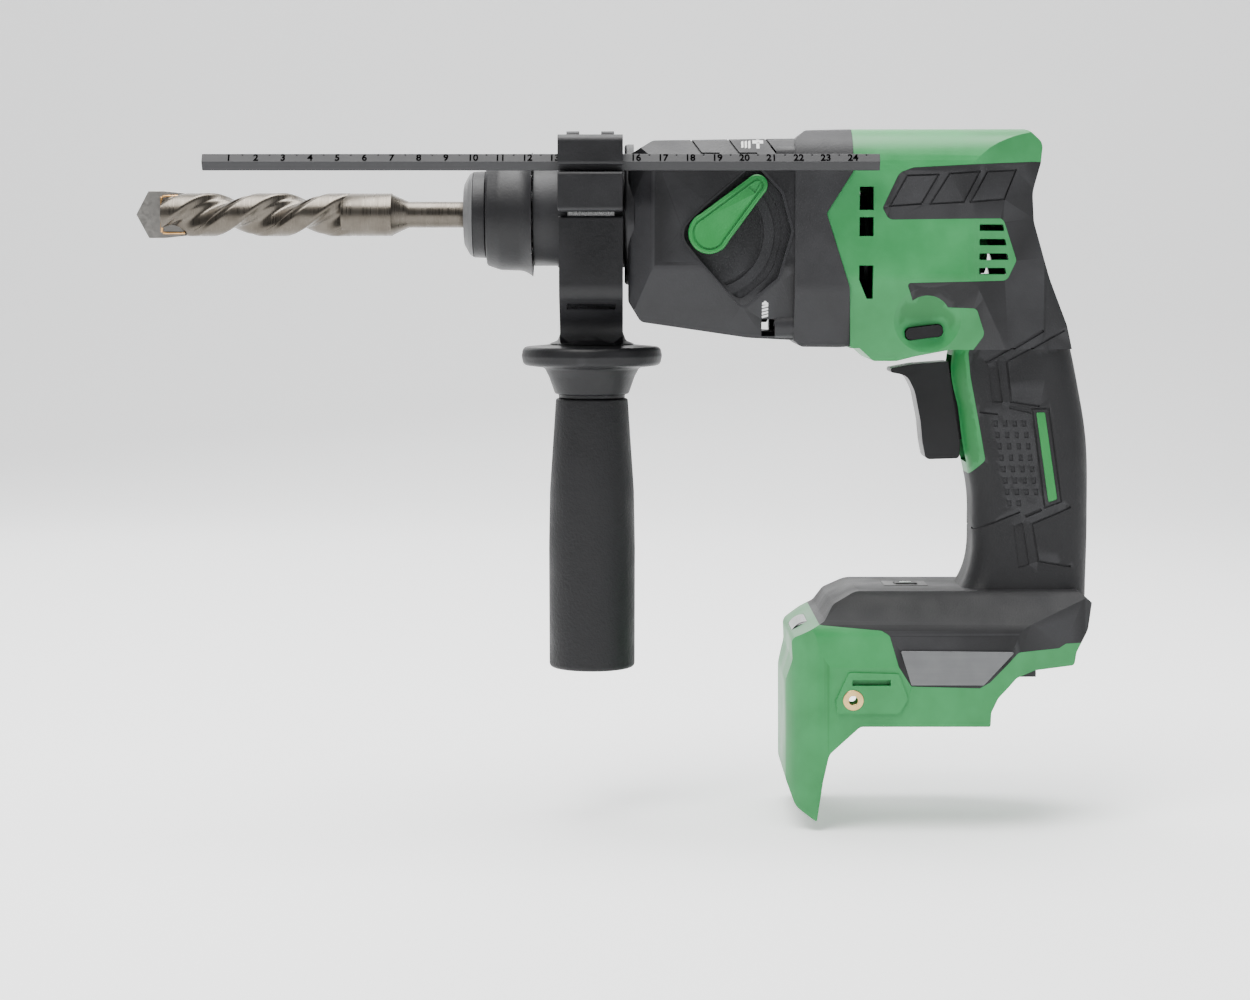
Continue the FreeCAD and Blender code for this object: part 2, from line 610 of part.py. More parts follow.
def outer_form(d):
    return barrel_form(d).fuse([grip_form(d), foot_form(d)])


def soft_region():
    """Where the left side carries soft overmould, seen from the left."""
    return plate([
        (157.5, 2.0, 2), (163.7, 15.1, 4), (168.9, 17.0, 4), (214.3, 19.4), (250, 19.4),
        (250, -162.0), (228.5, -162.0), (225.7, -163.6, 1), (209.6, -164.4, 3),
        (198.8, -175.6, 2), (195.0, -177.8, 1), (169.2, -177.1, 1), (164.4, -169.6, 1),
        (161.0, -158.0, 2), (158.0, -156.2, 2), (136.0, -154.3, 1), (115, -150), (115, -101),
        (193.2, -99.1), (198.9, -93.4, 2), (196.1, -78.1, 20), (192.8, -61.3, 12),
        (191.9, -52.0, 3), (196.7, -45.3, 3), (193.3, -35.5, 2), (170.1, -34.6, 3),
        (166.9, -25.9, 1), (205.0, -25.0, 3), (208.7, -17.5, 2), (203.6, -3.0, 3),
        (202.3, -1.9, 1), (159.9, -2.4, 3),
    ], -THROUGH, THROUGH)


PAD = [(145.7, -171.8, 0.6), (164.4, -172.2, 0.6), (168.0, -181.8, 0.6), (164.8, -187.2, 0.6),
       (141.6, -187.2, 0.6), (140.8, -182.7, 0.6)]
LABEL = [(165.1, -163.6, 0.5), (208.1, -164.0, 0.5), (196.5, -176.7, 0.5), (169.2, -176.7, 0.5)]
BAR = [(218.0, -75.1, 0.6), (221.3, -75.1, 0.6), (226.4, -108.2, 0.6), (223.1, -109.4, 0.6)]
INSERT_X, INSERT_Z = 147.4, -182.2
BUTTON_X, BUTTON_Z = 174.0, -44.4


UPPER_PANELS = [
    [(160.3, 2.7), (166.7, 14.0), (178.3, 14.4), (171.9, 3.5), (160.3, 2.7)],
    [(175.3, 3.5), (182.4, 14.7), (193.7, 15.5), (187.7, 4.2), (175.3, 3.5)],
    [(190.3, 4.2), (196.7, 15.5), (208.0, 16.2), (203.5, 5.4), (190.3, 4.2)],
]
GRIP_LINES = [
    ([(219.5, -44.2), (198.9, -55.6)], 1.2),
    ([(227.8, -44.1), (206.4, -55.6), (208.4, -71.0), (218.9, -72.6)], 0.8),
    ([(208.4, -73.2), (216.0, -75.0)], 1.2),
    ([(196.8, -75.1), (203.0, -75.7)], 0.7),
    ([(216.4, -73.6), (222.7, -73.6), (228.0, -109.2), (221.7, -111.4), (216.4, -73.6)], 0.7),
    ([(214.9, -114.6), (220.0, -112.4)], 1.2),
    ([(194.5, -120.3), (212.0, -113.2)], 0.7),
    ([(231.4, -111.4), (216.9, -117.6), (219.5, -131.9), (231.7, -134.0)], 0.8),
]
GRIP_POCKETS = [
    [(199.2, -56.6, 0.4), (202.9, -55.4, 0.4), (205.3, -71.4, 0.4), (201.2, -71.2, 0.4)],
    [(209.8, -118.3, 0.4), (213.4, -117.0, 0.4), (216.1, -133.3, 0.4), (211.8, -134.6, 0.4)],
]


def relief_tools():
    """Shallow lines, pockets and dimples in the left overmould: 0.55 mm into its surface."""
    tools = [stroke(outline, 0.7) for outline in UPPER_PANELS]
    tools += [stroke(points, width) for points, width in GRIP_LINES]
    tools += [plate(points, -THROUGH, -6.0) for points in GRIP_POCKETS]
    for row in range(8):
        for column in range(4 if row < 7 else 2):
            x = 202.6 + 3.65 * column + 0.8 * row
            z = -79.3 - 4.35 * row
            tools.append(plate([(x - 0.9, z + 1.2), (x + 0.7, z + 1.2), (x + 0.9, z - 1.2),
                                (x - 0.7, z - 1.2)], -THROUGH, -6.0))
    floor = outer_form(0.55)
    return [tool.cut(floor) for tool in tools]


def vent_tools():
    """Air slots: three at the front and four behind, on the left."""
    slots = []
    for low, high in ((1.2, 9.9), (-8.5, -1.4), (-31.8, -19.4)):
        cut = 3.5 if low < -20 else 0
        slots.append(plate([(149.0, low + cut * 2), (149.0, high), (154.3, high),
                            (154.3, low), (152.0, low)], -THROUGH, -20))
    for i in range(4):
        z = -5.3 - 5.4 * i
        reach = 203.8 + (0.9 * i if i < 3 else 1.0)
        slots.append(plate([(193.9, z - 1.2, 0.4), (reach, z - 1.2, 0.4),
                            (reach - 0.6, z + 1.2, 0.4), (193.9, z + 1.2, 0.4)], -THROUGH, -12))
    return slots


def make_housing():
    full = outer_form(0)
    under_skin = outer_form(SKIN)
    room = barrel_form(SHELL).fuse([
        grip_form(SHELL), foot_form(SHELL).common(block(100, 260, -60, 60, -168.6, -130)),
    ])
    bay = plate([(127.0, -34.5, 12), (250, -34.5), (250, 34.5), (127.0, 34.5, 12)],
                -245, -171.6, "XY")
    soft = full.cut(under_skin).common(soft_region())
    shell = full.cut([soft, room, bay])

    ribs = []
    for x in (165.0, 180.0):
        ribs.append(tube_x(40, 23.55, x, x + 3, 0, MOTOR_Z).common(barrel_form(2.2)))
    rear_web = block(194.5, 197.0, -40, 40, -32, 40).common(barrel_form(2.2))
    seat = rod_x(10.5, 193.0, 199.6, 0, MOTOR_Z)
    web = rear_web.fuse(seat).cut(rod_x(8.05, 193.4, 202.0, 0, MOTOR_Z))
    web = web.cut(rod_x(6.0, 190, 202.0, 0, MOTOR_Z))
    ribs.append(web)
    for x, z, _ in HOUSING_SCREWS:
        ribs.append(rod_y(4.6, -THROUGH, THROUGH, x, z).common(outer_form(1.0)))
    for y, z in screw_places():
        ribs.append(rod_x(4.6, 147.0, 156.0, y, z).common(barrel_form(1.0)))
    for side in (1, -1):
        y0, y1 = sorted((side * 30.6, side * 35.0))
        ribs.append(block(156.0, 198.0, y0, y1, -190.8, -187.8))
        y0, y1 = sorted((side * 29.4, side * 36.0))
        ribs.append(rod_y(6.0, y0, y1, INSERT_X, INSERT_Z))
        y0, y1 = sorted((side * 37.0, side * 38.8))
        ribs.append(plate(PAD, y0, y1))
    shell = shell.fuse(ribs)

    cuts = []
    for slot in vent_tools():
        cuts += [slot, mirrored(slot)]
    for side in (1, -1):
        y0, y1 = sorted((side * 28.0, side * 45.0))
        cuts.append(rod_y(3.95, y0, y1, INSERT_X, INSERT_Z))
        y0, y1 = sorted((side * 36.6, side * 45.0))
        cuts.append(block(147.0, 161.4, y0, y1, -176.7, -174.5))
        cuts.append(Part.makeSphere(26.0, V(BUTTON_X + 1, side * 50.6, BUTTON_Z)))
    cuts.append(direction_outline(0.3, THROUGH))
    cuts.append(trigger_pocket())
    cuts.append(rod_y(6.6, -11.4, 11.4, 131.6, -162.4))
    cuts.append(block(161.6, 178.6, -7.2, 7.2, -147.5, -140.0))
    cuts.append(block(159.4, 190.6, -16.6, 16.6, -180.0, -168.0))
    for x, z, head in HOUSING_SCREWS:
        cuts.append(rod_y(2.0, -9.0, head + 0.1, x, z))
        cuts.append(rod_y(3.8, head, THROUGH, x, z))
    for y, z in screw_places():
        cuts.append(rod_x(2.0, 140, 149.6, y, z))
    shell = shell.cut(cuts).common(wedge(GAP))
    soft = soft.cut(cuts).common(wedge(GAP))

    label = both_sides(plate(LABEL, -38.2, -36.9))
    bar = both_sides(plate(BAR, -17.1, -15.9))
    relief = relief_tools()
    soft = soft.cut([label, bar, shell] + relief + [mirrored(tool) for tool in relief])
    left = block(100, 260, -THROUGH, 0, -250, 60)
    right = block(100, 260, 0, THROUGH, -250, 60)
    groups = (("housing", shell), ("overmould", soft), ("label_panel", label), ("grip_bar", bar))
    for name, shape in groups:
        for side, half in (("left", left), ("right", right)):
            solids = sorted(shape.common(half).Solids, key=lambda s: -s.Volume)
            keep = [s for s in solids if s.Volume > 20]
            pieces[name + "_" + side] = keep[0] if len(keep) == 1 else Part.makeCompound(keep)


def trigger_pocket():
    return plate([
        (160, -58.2), (172, -55.2), (172, -53.6), (206.0, -53.6), (206.0, -94.6),
        (170, -94.6), (170, -62), (160, -62),
    ], -9.0, 9.0)


def direction_outline(gap, half):
    """Cross-section of the direction button, tilted a little nose-down."""
    bar = plate([
        (BUTTON_X - 7.0 - gap, BUTTON_Z - 2.2 - gap, 2), (BUTTON_X + 7.0 + gap, BUTTON_Z - 2.2 - gap, 2),
        (BUTTON_X + 7.0 + gap, BUTTON_Z + 2.2 + gap, 2), (BUTTON_X - 7.0 - gap, BUTTON_Z + 2.2 + gap, 2),
    ], -half, half)
    bar.rotate(V(BUTTON_X, 0, BUTTON_Z), Y_AXIS, -7)
    return bar


def make_controls():
    blade = plate([
        (185.4, -56.0), (172.0, -57.0, 3), (163.4, -58.6, 0.8), (163.4, -60.2, 0.8),
        (169.6, -61.4, 5), (172.6, -67.4, 12), (174.9, -79.0, 20), (175.7, -87.0, 8),
        (177.0, -93.6, 2), (190.0, -93.2, 1.5), (190.2, -87.0), (187.0, -67.0),
    ], -8.6, 8.6)
    slider = block(184.0, 198.0, -6.5, 6.5, -86.0, -61.0)
    trigger = blade.fuse(slider).cut(rod_x(3.2, 192.0, 200.0, 0, -74))
    pieces["trigger"] = trigger.removeSplitter()
    pieces["trigger_spring"] = spring(2.4, 0.45, 199.4, 206.8, 5, V(0, 0, -74), X_AXIS)
    pieces["switch_body"] = filleted(block(207.0, 229.0, -9.5, 9.5, -92.0, -58.0), 1.0)
    button = direction_outline(0, 27.4)
    button = button.cut(block(168.5, 180, -4, 4, BUTTON_Z - 6, BUTTON_Z + 0.2))
    pieces["direction_button"] = button
    pieces["light_lens"] = filleted(rod_y(6.5, -11.3, 11.3, 131.6, -162.4), 1.2,
                                    lambda edge: edge.Length > 25)
    panel = block(161.7, 178.5, -7.1, 7.1, -146.8, -142.4)
    panel = panel.cut(block(166.0, 175.0, -4.0, 4.0, -150, -140))
    pieces["button_panel"] = panel
    key = block(166.2, 174.8, -3.8, 3.8, -145.6, -141.9)
    pieces["light_button"] = filleted(key, 0.6)
    pieces["controller_module"] = block(146.0, 186.0, -24.0, 24.0, -166.0, -149.6)
    terminals = block(159.5, 190.5, -16.5, 16.5, -180.0, -168.2)
    blades = []
    for y in (-11, -4, 4, 11):
        terminals = terminals.cut(block(163.0, 192.0, y - 1.4, y + 1.4, -181, -172.0))
        blades.append(block(166.0, 189.0, y - 0.4, y + 0.4, -179.4, -172.0))
    pieces["terminal_block"] = terminals
    pieces["terminal_blades"] = Part.makeCompound(blades)
    inserts = []
    for side in (1, -1):
        y0, y1 = sorted((side * 30.8, side * 39.0))
        body = rod_y(3.9, y0, y1, INSERT_X, INSERT_Z)
        inserts.append(body.cut(rod_y(1.65, y0 - 1, y1 + 1, INSERT_X, INSERT_Z)))
    pieces["brass_insert_left"] = inserts[1]
    pieces["brass_insert_right"] = inserts[0]
    pieces["bay_buffers"] = both_sides(block(210.6, 216.6, -34.0, -28.0, -174.0, -171.6))


def make_fasteners():
    covers = []
    for y, z in screw_places():
        head = rod_x(3.7, 118.0, 121.4, y, z).cut(rod_x(2.0, 117.0, 119.8, y, z))
        covers.append(head.fuse(rod_x(1.95, 121.4, 149.2, y, z)))
    pieces["gear_cover_screws"] = Part.makeCompound(covers)
    screws = []
    for x, z, seat in HOUSING_SCREWS:
        head = rod_y(3.5, seat + 0.1, seat + 2.6, x, z)
        head = head.cut(rod_y(1.6, seat + 1.2, seat + 3.0, x, z))
        screws.append(head.fuse(rod_y(1.9, -8.0, seat + 0.1, x, z)))
    pieces["housing_screws"] = Part.makeCompound(screws)


# ---- mode lever ---------------------------------------------------------------------------------
def lever_outline(inset, low, high):
    """Teardrop of the lever seen from the left, set in all round."""
    reach = 24.9
    aim = math.radians(45)
    tip = (KNOB_X + reach * math.cos(aim), KNOB_Z + reach * math.sin(aim))
    wide = 7.8 - inset
    narrow = 4.0 - inset
    side = V(-math.sin(aim), 0, math.cos(aim))
    ends = []
    for centre, radius, order in (((KNOB_X, KNOB_Z), wide, 1), (tip, narrow, -1)):
        middle = V(centre[0], 0, centre[1])
        pair = [middle + side * radius * 0.99, middle - side * radius * 0.99]
        ends += pair[::order]
    bridge = plate([(p.x, p.z) for p in ends], low, high)
    round_end = rod_y(wide, low, high, KNOB_X, KNOB_Z)
    small_end = rod_y(narrow, low, high, *tip)
    return round_end.fuse([small_end, bridge]).removeSplitter()


def make_mode_lever():
    lever = lever_outline(0, -34.4, -28.3)
    lever = filleted(lever, 0.8, lambda edge: edge.BoundBox.YMax < -34.3)
    trough = lever_outline(1.5, -35.0, -33.9).cut(lever_outline(2.3, -36.0, -33.0))
    arrow = plate([(KNOB_X + 19.4, KNOB_Z + 19.4), (KNOB_X + 14.6, KNOB_Z + 17.0),
                   (KNOB_X + 17.0, KNOB_Z + 14.6)], -35.0, -33.9)
    lever = lever.cut([trough, arrow])
    stem = rod_y(5.2, -28.4, -24.7, KNOB_X, KNOB_Z)
    crank = rod_y(1.4, -24.8, -22.8, KNOB_X + 3.0, KNOB_Z)
    pieces["mode_lever"] = lever.fuse([stem, crank]).removeSplitter()
    plate_body = block(86.0, 103.0, -24.4, -23.0, -17.0, 1.5)
    plate_body = plate_body.cut(block(KNOB_X + 0.6, KNOB_X + 5.2, -25, -19, -12.5, -4.5))
    pieces["shift_plate"] = plate_body


# ---- side handle and depth gauge ------------------------------------------------------------------
CLAMP_LOW, CLAMP_HIGH = 36.8, 60.8
ROD_Y, ROD_Z = -38.6, 18.6
ROD_FLAT = 6.0
ROD_FRONT, ROD_REAR = -94.4, 155.6


def gauge_rod(grow, low, high):
    corner = (ROD_FLAT / 2 + grow) / math.cos(math.radians(30))
    points = []
    for i in range(6):
        angle = math.radians(60 * i)
        points.append((ROD_Y + corner * math.cos(angle), ROD_Z + corner * math.sin(angle)))
    return plate(points, low, high, "YZ")


def make_side_handle():
    bore = rod_x(NOSE_R + 0.3, 30, 70)
    slots = []
    for side in (1, -1):
        y0, y1 = sorted((side * 20.35, side * 22.1))
        slots.append(block(39.6, 58.0, y0, y1, -36.0, 0.5))
    yoke_room = block(39.6, 58.0, -22.1, 22.1, -36.0, -23.2)
    saddle = plate([
        (-26.5, -0.9, 1), (-26.5, -30, 8), (-12.4, -42, 8), (-12.4, -49.4), (12.4, -49.4),
        (12.4, -42, 8), (26.5, -30, 8), (26.5, -0.9, 1),
    ], CLAMP_LOW, CLAMP_HIGH, "YZ")
    saddle = saddle.common(turned_up([(0, 2), (30, 2), (30, -30), (14.5, -49.4), (0, -49.4)],
                                     HANDLE_X))
    foot = turned_up([(0, -44.4), (11.8, -44.4), (13.2, -48.2, 2), (16.5, -49.4), (0, -49.4)],
                     HANDLE_X)
    saddle = saddle.fuse(foot).cut([bore, yoke_room, rod_z(4.3, -60, -30, HANDLE_X, 0)] + slots)
    pieces["handle_saddle"] = sorted(saddle.Solids, key=lambda s: -s.Volume)[0]

    ear = plate([
        (-45.5, 0.7, 1.5), (-18.0, 0.7), (-18.0, 15.2), (-45.5, 15.2, 1.5),
    ], CLAMP_LOW, CLAMP_HIGH, "YZ")
    ear = ear.cut([bore, gauge_rod(0.15, 20, 80), block(30, 70, -22.3, 0, -2, 16)])
    pieces["gauge_ear"] = ear
    strap_ring = tube_x(21.8, 20.6, 40.0, 57.6).common(block(30, 70, -30, 30, 0, 30))
    legs = []
    for side in (1, -1):
        y0, y1 = sorted((side * 20.6, side * 21.8))
        legs.append(block(40.0, 57.6, y0, y1, -33.0, 0))
    yoke = block(40.0, 57.6, -21.8, 21.8, -33.0, -29.6).cut(rod_z(4.0, -40, -20, HANDLE_X, 0))
    pieces["steel_strap"] = strap_ring.fuse(legs + [yoke]).removeSplitter()

    band = plate([
        (-45.5, 17.4, 1.5), (-45.5, 28.6, 3), (-16.0, 29.2, 6), (0, 29.4, 60), (18.0, 26.0, 9),
        (26.5, 14.0, 8), (26.5, 0.7, 1), (0, 0.7), (0, 17.4),
    ], CLAMP_LOW, CLAMP_HIGH, "YZ")
    lift_room = block(30, 70, ROD_Y - 3.7, ROD_Y + 3.7, 16, ROD_Z)
    band = band.cut([rod_x(22.0, 30, 70), gauge_rod(0.15, 20, 80), lift_room])
    bumps = []
    for x in (42.4, 55.2):
        bumps.append(rod_x(1.6, x - 2.4, x + 2.4, -40.0, 28.3))
    band = band.fuse(bumps)
    pieces["upper_band"] = sorted(band.Solids, key=lambda s: -s.Volume)[0]

    head = rod_z(6.0, -29.5, -26.4, HANDLE_X, 0)
    pieces["handle_bolt"] = head.fuse(rod_z(3.95, -96.0, -29.5, HANDLE_X, 0)).removeSplitter()
    nut = Part.Face(Part.makePolygon([
        V(HANDLE_X + 7.5 * math.cos(math.radians(60 * i)), 7.5 * math.sin(math.radians(60 * i)), -84)
        for i in range(7)])).extrude(V(0, 0, 6.5))
    pieces["grip_nut"] = nut.cut(rod_z(4.02, -90, -70, HANDLE_X, 0))
    core = turned_up([
        (4.6, -49.7), (16.0, -49.7, 1), (26.4, -50.6, 2), (27.1, -54.0, 2), (26.4, -57.6, 2),
        (18.4, -58.6, 2), (16.6, -62.0, 8), (14.3, -68.6), (12.8, -69.0), (12.8, -70.4),
        (11.0, -70.4), (11.0, -168.0), (4.6, -168.0),
    ], HANDLE_X)
    pieces["grip_core"] = core.cut(nut)
    sleeve = turned_up([
        (11.05, -70.5), (13.9, -70.5, 0.8), (15.0, -87.0, 60), (16.3, -106.0, 80), (16.7, -128.0, 120),
        (16.6, -174.9, 1.6), (0, -175.2), (0, -168.1), (11.05, -168.1),
    ], HANDLE_X)
    pieces["grip_sleeve"] = sleeve
    rod = gauge_rod(0, ROD_FRONT, ROD_REAR)
    ticks = []
    for i in range(1, 25):
        x = ROD_FRONT + 10.0 * i + 5.0
        ticks.append(block(x - 0.25, x + 0.25, -45, -40.0, ROD_Z + 2.2, ROD_Z + 4))
    pieces["depth_gauge"] = rod.cut(ticks)


def join_nodes(name, members):
    """Pieces that share one node, kept as separate solids."""
    pieces[name] = Part.makeCompound([pieces.pop(member) for member in members])


# ---- build -------------------------------------------------------------------------------------
body, tip = make_bit()
pieces["drill_bit"] = body
pieces["carbide_tip"] = tip
make_holder_parts()
make_counter_parts()
make_motor_parts()
pieces["gear_cover"] = make_gear_cover()
pieces["bumper_ring"] = make_bumper_ring()
pieces["inner_cover"] = make_inner_cover()
make_housing()
make_controls()
make_fasteners()
make_mode_lever()
make_side_handle()

join_nodes("label_panels", ["label_panel_left", "label_panel_right"])
join_nodes("grip_bars", ["grip_bar_left", "grip_bar_right"])
join_nodes("brass_inserts", ["brass_insert_left", "brass_insert_right"])
join_nodes("motor_bearings", ["motor_front_bearing", "motor_rear_bearing"])
join_nodes("shaft_bearings", ["shaft_front_bearing", "shaft_rear_bearing"])
join_nodes("spindle_bearings", ["spindle_front_bearing", "spindle_rear_bush"])
join_nodes("rotor_body", ["rotor_core", "rotor_magnets"])
join_nodes("stator", ["stator_stack", "stator_coils"])
join_nodes("sealed_striker", ["striker", "striker_seal"])
join_nodes("pinned_piston", ["piston", "piston_pin"])
join_nodes("wobble_bearing", ["wobble_hub", "wobble_balls"])
join_nodes("grip_core_with_nut", ["grip_core", "grip_nut"])

os.makedirs("parts", exist_ok=True)
for name, shape in pieces.items():
    shape.exportStep("parts/" + name + ".step")
    print(name, round(shape.Volume), len(shape.Solids), shape.isValid())
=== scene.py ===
import json
import math

import bmesh
import bpy
from mathutils import Matrix, Vector
from mathutils.bvhtree import BVHTree


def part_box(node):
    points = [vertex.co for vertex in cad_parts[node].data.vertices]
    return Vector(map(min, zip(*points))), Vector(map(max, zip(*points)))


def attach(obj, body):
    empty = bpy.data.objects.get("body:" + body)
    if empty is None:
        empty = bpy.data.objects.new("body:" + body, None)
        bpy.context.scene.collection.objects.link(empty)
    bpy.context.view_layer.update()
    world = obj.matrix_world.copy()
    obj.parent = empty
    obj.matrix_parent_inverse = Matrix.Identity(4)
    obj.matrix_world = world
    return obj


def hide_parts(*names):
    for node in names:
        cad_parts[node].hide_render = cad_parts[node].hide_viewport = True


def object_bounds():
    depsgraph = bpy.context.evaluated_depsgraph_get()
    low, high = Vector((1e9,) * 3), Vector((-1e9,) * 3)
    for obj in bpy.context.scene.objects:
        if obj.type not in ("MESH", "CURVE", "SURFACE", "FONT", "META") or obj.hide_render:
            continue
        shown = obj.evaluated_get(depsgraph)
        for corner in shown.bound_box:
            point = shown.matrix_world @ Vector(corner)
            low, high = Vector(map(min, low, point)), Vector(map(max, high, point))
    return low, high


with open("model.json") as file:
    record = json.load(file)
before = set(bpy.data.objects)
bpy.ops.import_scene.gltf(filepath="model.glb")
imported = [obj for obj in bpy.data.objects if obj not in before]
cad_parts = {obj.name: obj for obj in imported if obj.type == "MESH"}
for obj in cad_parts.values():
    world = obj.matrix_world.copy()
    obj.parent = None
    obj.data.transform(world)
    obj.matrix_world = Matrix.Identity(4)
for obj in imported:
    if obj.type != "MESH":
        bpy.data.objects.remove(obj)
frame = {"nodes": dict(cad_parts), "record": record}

cad_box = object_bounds()
scene = bpy.context.scene
nodes = frame["nodes"]

# ---- camera, floor and light ---------------------------------------------------
# The tool is seen square-on from its left, with the lens just below the bit's axis and
# tilted a little down. A pale paper sweep lies under the tool and rises behind it.
EYE = Vector((0.0616, -1.05, -0.018))
AIM = Vector((0.0616, 0.0, -0.110))
FIELD_WIDTH = 0.4845
FILM_WIDTH = 36.0

view = bpy.data.cameras.new("camera")
view.sensor_width = FILM_WIDTH
view.lens = FILM_WIDTH * (AIM - EYE).length / FIELD_WIDTH
camera = bpy.data.objects.new("camera", view)
camera.location = EYE
camera.rotation_euler = (AIM - EYE).to_track_quat("-Z", "Y").to_euler()
scene.collection.objects.link(camera)
scene.camera = camera


def finished(name, bm, *materials, smooth=True):
    """Turns a bmesh into an object at the origin, with its materials."""
    mesh = bpy.data.meshes.new(name)
    bm.to_mesh(mesh)
    bm.free()
    mesh.polygons.foreach_set("use_smooth", [smooth] * len(mesh.polygons))
    for material in materials:
        mesh.materials.append(material)
    piece = bpy.data.objects.new(name, mesh)
    scene.collection.objects.link(piece)
    return piece


SWEEP_LOW = cad_box[0][2] - 0.004
SWEEP_HALF = 12.0
SWEEP_REACH = 1.2
SWEEP_BEND = 0.8
SWEEP_RISE = 3.0
PAPER_GLOW = 0.45
paper = bpy.data.materials.new("pale_paper")
paper.use_nodes = True
paper_shader = paper.node_tree.nodes["Principled BSDF"]
paper_shader.inputs["Base Color"].default_value = (0.88, 0.885, 0.89, 1)
paper_shader.inputs["Roughness"].default_value = 0.9
paper_shader.inputs["Emission Color"].default_value = (1, 1, 1, 1)
paper_shader.inputs["Emission Strength"].default_value = PAPER_GLOW
bm = bmesh.new()
start = bm.verts.new((-SWEEP_HALF, -SWEEP_HALF, SWEEP_LOW))
run = bmesh.ops.extrude_vert_indiv(bm, verts=[start])["verts"]
bmesh.ops.translate(bm, verts=run, vec=(0, SWEEP_HALF + SWEEP_REACH, 0))
bmesh.ops.spin(bm, geom=run, cent=(0, SWEEP_REACH, SWEEP_LOW + SWEEP_BEND), axis=(1, 0, 0),
               angle=math.pi / 2, steps=12)
last = max(bm.verts, key=lambda vert: vert.co.y + vert.co.z)
rise = bmesh.ops.extrude_vert_indiv(bm, verts=[last])["verts"]
bmesh.ops.translate(bm, verts=rise, vec=(0, 0, SWEEP_RISE))
swept = bmesh.ops.extrude_edge_only(bm, edges=bm.edges[:])["geom"]
bmesh.ops.translate(bm, verts=[part for part in swept if isinstance(part, bmesh.types.BMVert)],
                    vec=(2 * SWEEP_HALF, 0, 0))
finished("sweep", bm, paper)

LIT_POINT = Vector((0.08, 0, -0.07))
for name, place, size, power, tint in (
    ("key_panel", (-0.40, -0.75, 1.45), 0.9, 36, (1.0, 0.99, 0.97)),
    ("fill_panel", (1.3, -1.2, 0.2), 1.0, 4, (0.96, 0.98, 1.0)),
    ("top_panel", (0.1, 0.05, 1.1), 0.8, 30, (1.0, 1.0, 1.0)),
    ("back_panel", (-0.2, 1.0, 0.6), 1.2, 10, (1.0, 1.0, 1.0)),
):
    lamp = bpy.data.lights.new(name, "AREA")
    lamp.size = size
    lamp.energy = power
    lamp.color = tint
    lamp_object = bpy.data.objects.new(name, lamp)
    lamp_object.location = place
    lamp_object.rotation_euler = (LIT_POINT - Vector(place)).to_track_quat("-Z", "Y").to_euler()
    scene.collection.objects.link(lamp_object)

# The room lights the tool weakly, and looks brighter where the camera sees past the paper.
ROOM_LIGHT = 0.2
ROOM_SEEN = 0.8
FIRST_SHADER = 1
SECOND_SHADER = 2
sky = bpy.data.worlds.new("studio")
sky.use_nodes = True
sky_tree = sky.node_tree
dim = sky_tree.nodes["Background"]
dim.inputs["Color"].default_value = (0.96, 0.98, 1.0, 1)
dim.inputs["Strength"].default_value = ROOM_LIGHT
bright = sky_tree.nodes.new("ShaderNodeBackground")
bright.inputs["Strength"].default_value = ROOM_SEEN
either = sky_tree.nodes.new("ShaderNodeMixShader")
seen = sky_tree.nodes.new("ShaderNodeLightPath")
sky_tree.links.new(seen.outputs["Is Camera Ray"], either.inputs["Fac"])
sky_tree.links.new(dim.outputs["Background"], either.inputs[FIRST_SHADER])
sky_tree.links.new(bright.outputs["Background"], either.inputs[SECOND_SHADER])
sky_tree.links.new(either.outputs["Shader"], sky_tree.nodes["World Output"].inputs["Surface"])
scene.world = sky

# ---- motor housing halves --------------------------------------------------------
# Two green glass-filled nylon shells, injection moulded with a fine spark texture and
# screwed together from the right. Handling polishes their edges and dulls the flats.
MM = 0.001
SAME_PLACE = 0.002 * MM
FLAT_ANGLE = math.radians(0.6)
COLOUR_A = 6
COLOUR_B = 7
COLOUR_MIXED = 2


def new_group(name, takes, gives):
    """Empty node group with named inputs and outputs."""
    group = bpy.data.node_groups.new(name, "ShaderNodeTree")
    for label, value in takes:
        group.interface.new_socket(name=label, in_out="INPUT",
                                   socket_type="NodeSocketFloat").default_value = value
    for label in gives:
        group.interface.new_socket(name=label, in_out="OUTPUT", socket_type="NodeSocketFloat")
    return group, group.nodes.new("NodeGroupInput"), group.nodes.new("NodeGroupOutput")


def add(tree, kind, **values):
    """Adds a node, with its settings by name and its unlinked sockets by label."""
    node = tree.nodes.new(kind)
    for label, value in values.items():
        if hasattr(node, label):
            setattr(node, label, value)
        else:
            node.inputs[label.replace("_", " ")].default_value = value
    return node


# Moulded grain: fine spark-eroded pits with a slow waviness, and a mask of worn edges.
grain_group, grain_in, grain_out = new_group(
    "moulded_grain", [("Grain Size", 900.0), ("Waviness", 0.3), ("Edge Wear", 0.3)],
    ["Height", "Mottle", "Wear"])
where = add(grain_group, "ShaderNodeTexCoord")
fine = add(grain_group, "ShaderNodeTexNoise", Detail=3.0, Roughness=0.6)
slow = add(grain_group, "ShaderNodeTexNoise", Scale=60.0, Detail=4.0)
blend = add(grain_group, "ShaderNodeMix")
grain_group.links.new(where.outputs["Object"], fine.inputs["Vector"])
grain_group.links.new(where.outputs["Object"], slow.inputs["Vector"])
grain_group.links.new(grain_in.outputs["Grain Size"], fine.inputs["Scale"])
grain_group.links.new(grain_in.outputs["Waviness"], blend.inputs["Factor"])
grain_group.links.new(fine.outputs["Fac"], blend.inputs["A"])
grain_group.links.new(slow.outputs["Fac"], blend.inputs["B"])
grain_group.links.new(blend.outputs["Result"], grain_out.inputs["Height"])
grain_group.links.new(slow.outputs["Fac"], grain_out.inputs["Mottle"])
shape = add(grain_group, "ShaderNodeNewGeometry")
ridge = add(grain_group, "ShaderNodeMapRange", From_Min=0.53, From_Max=0.64)
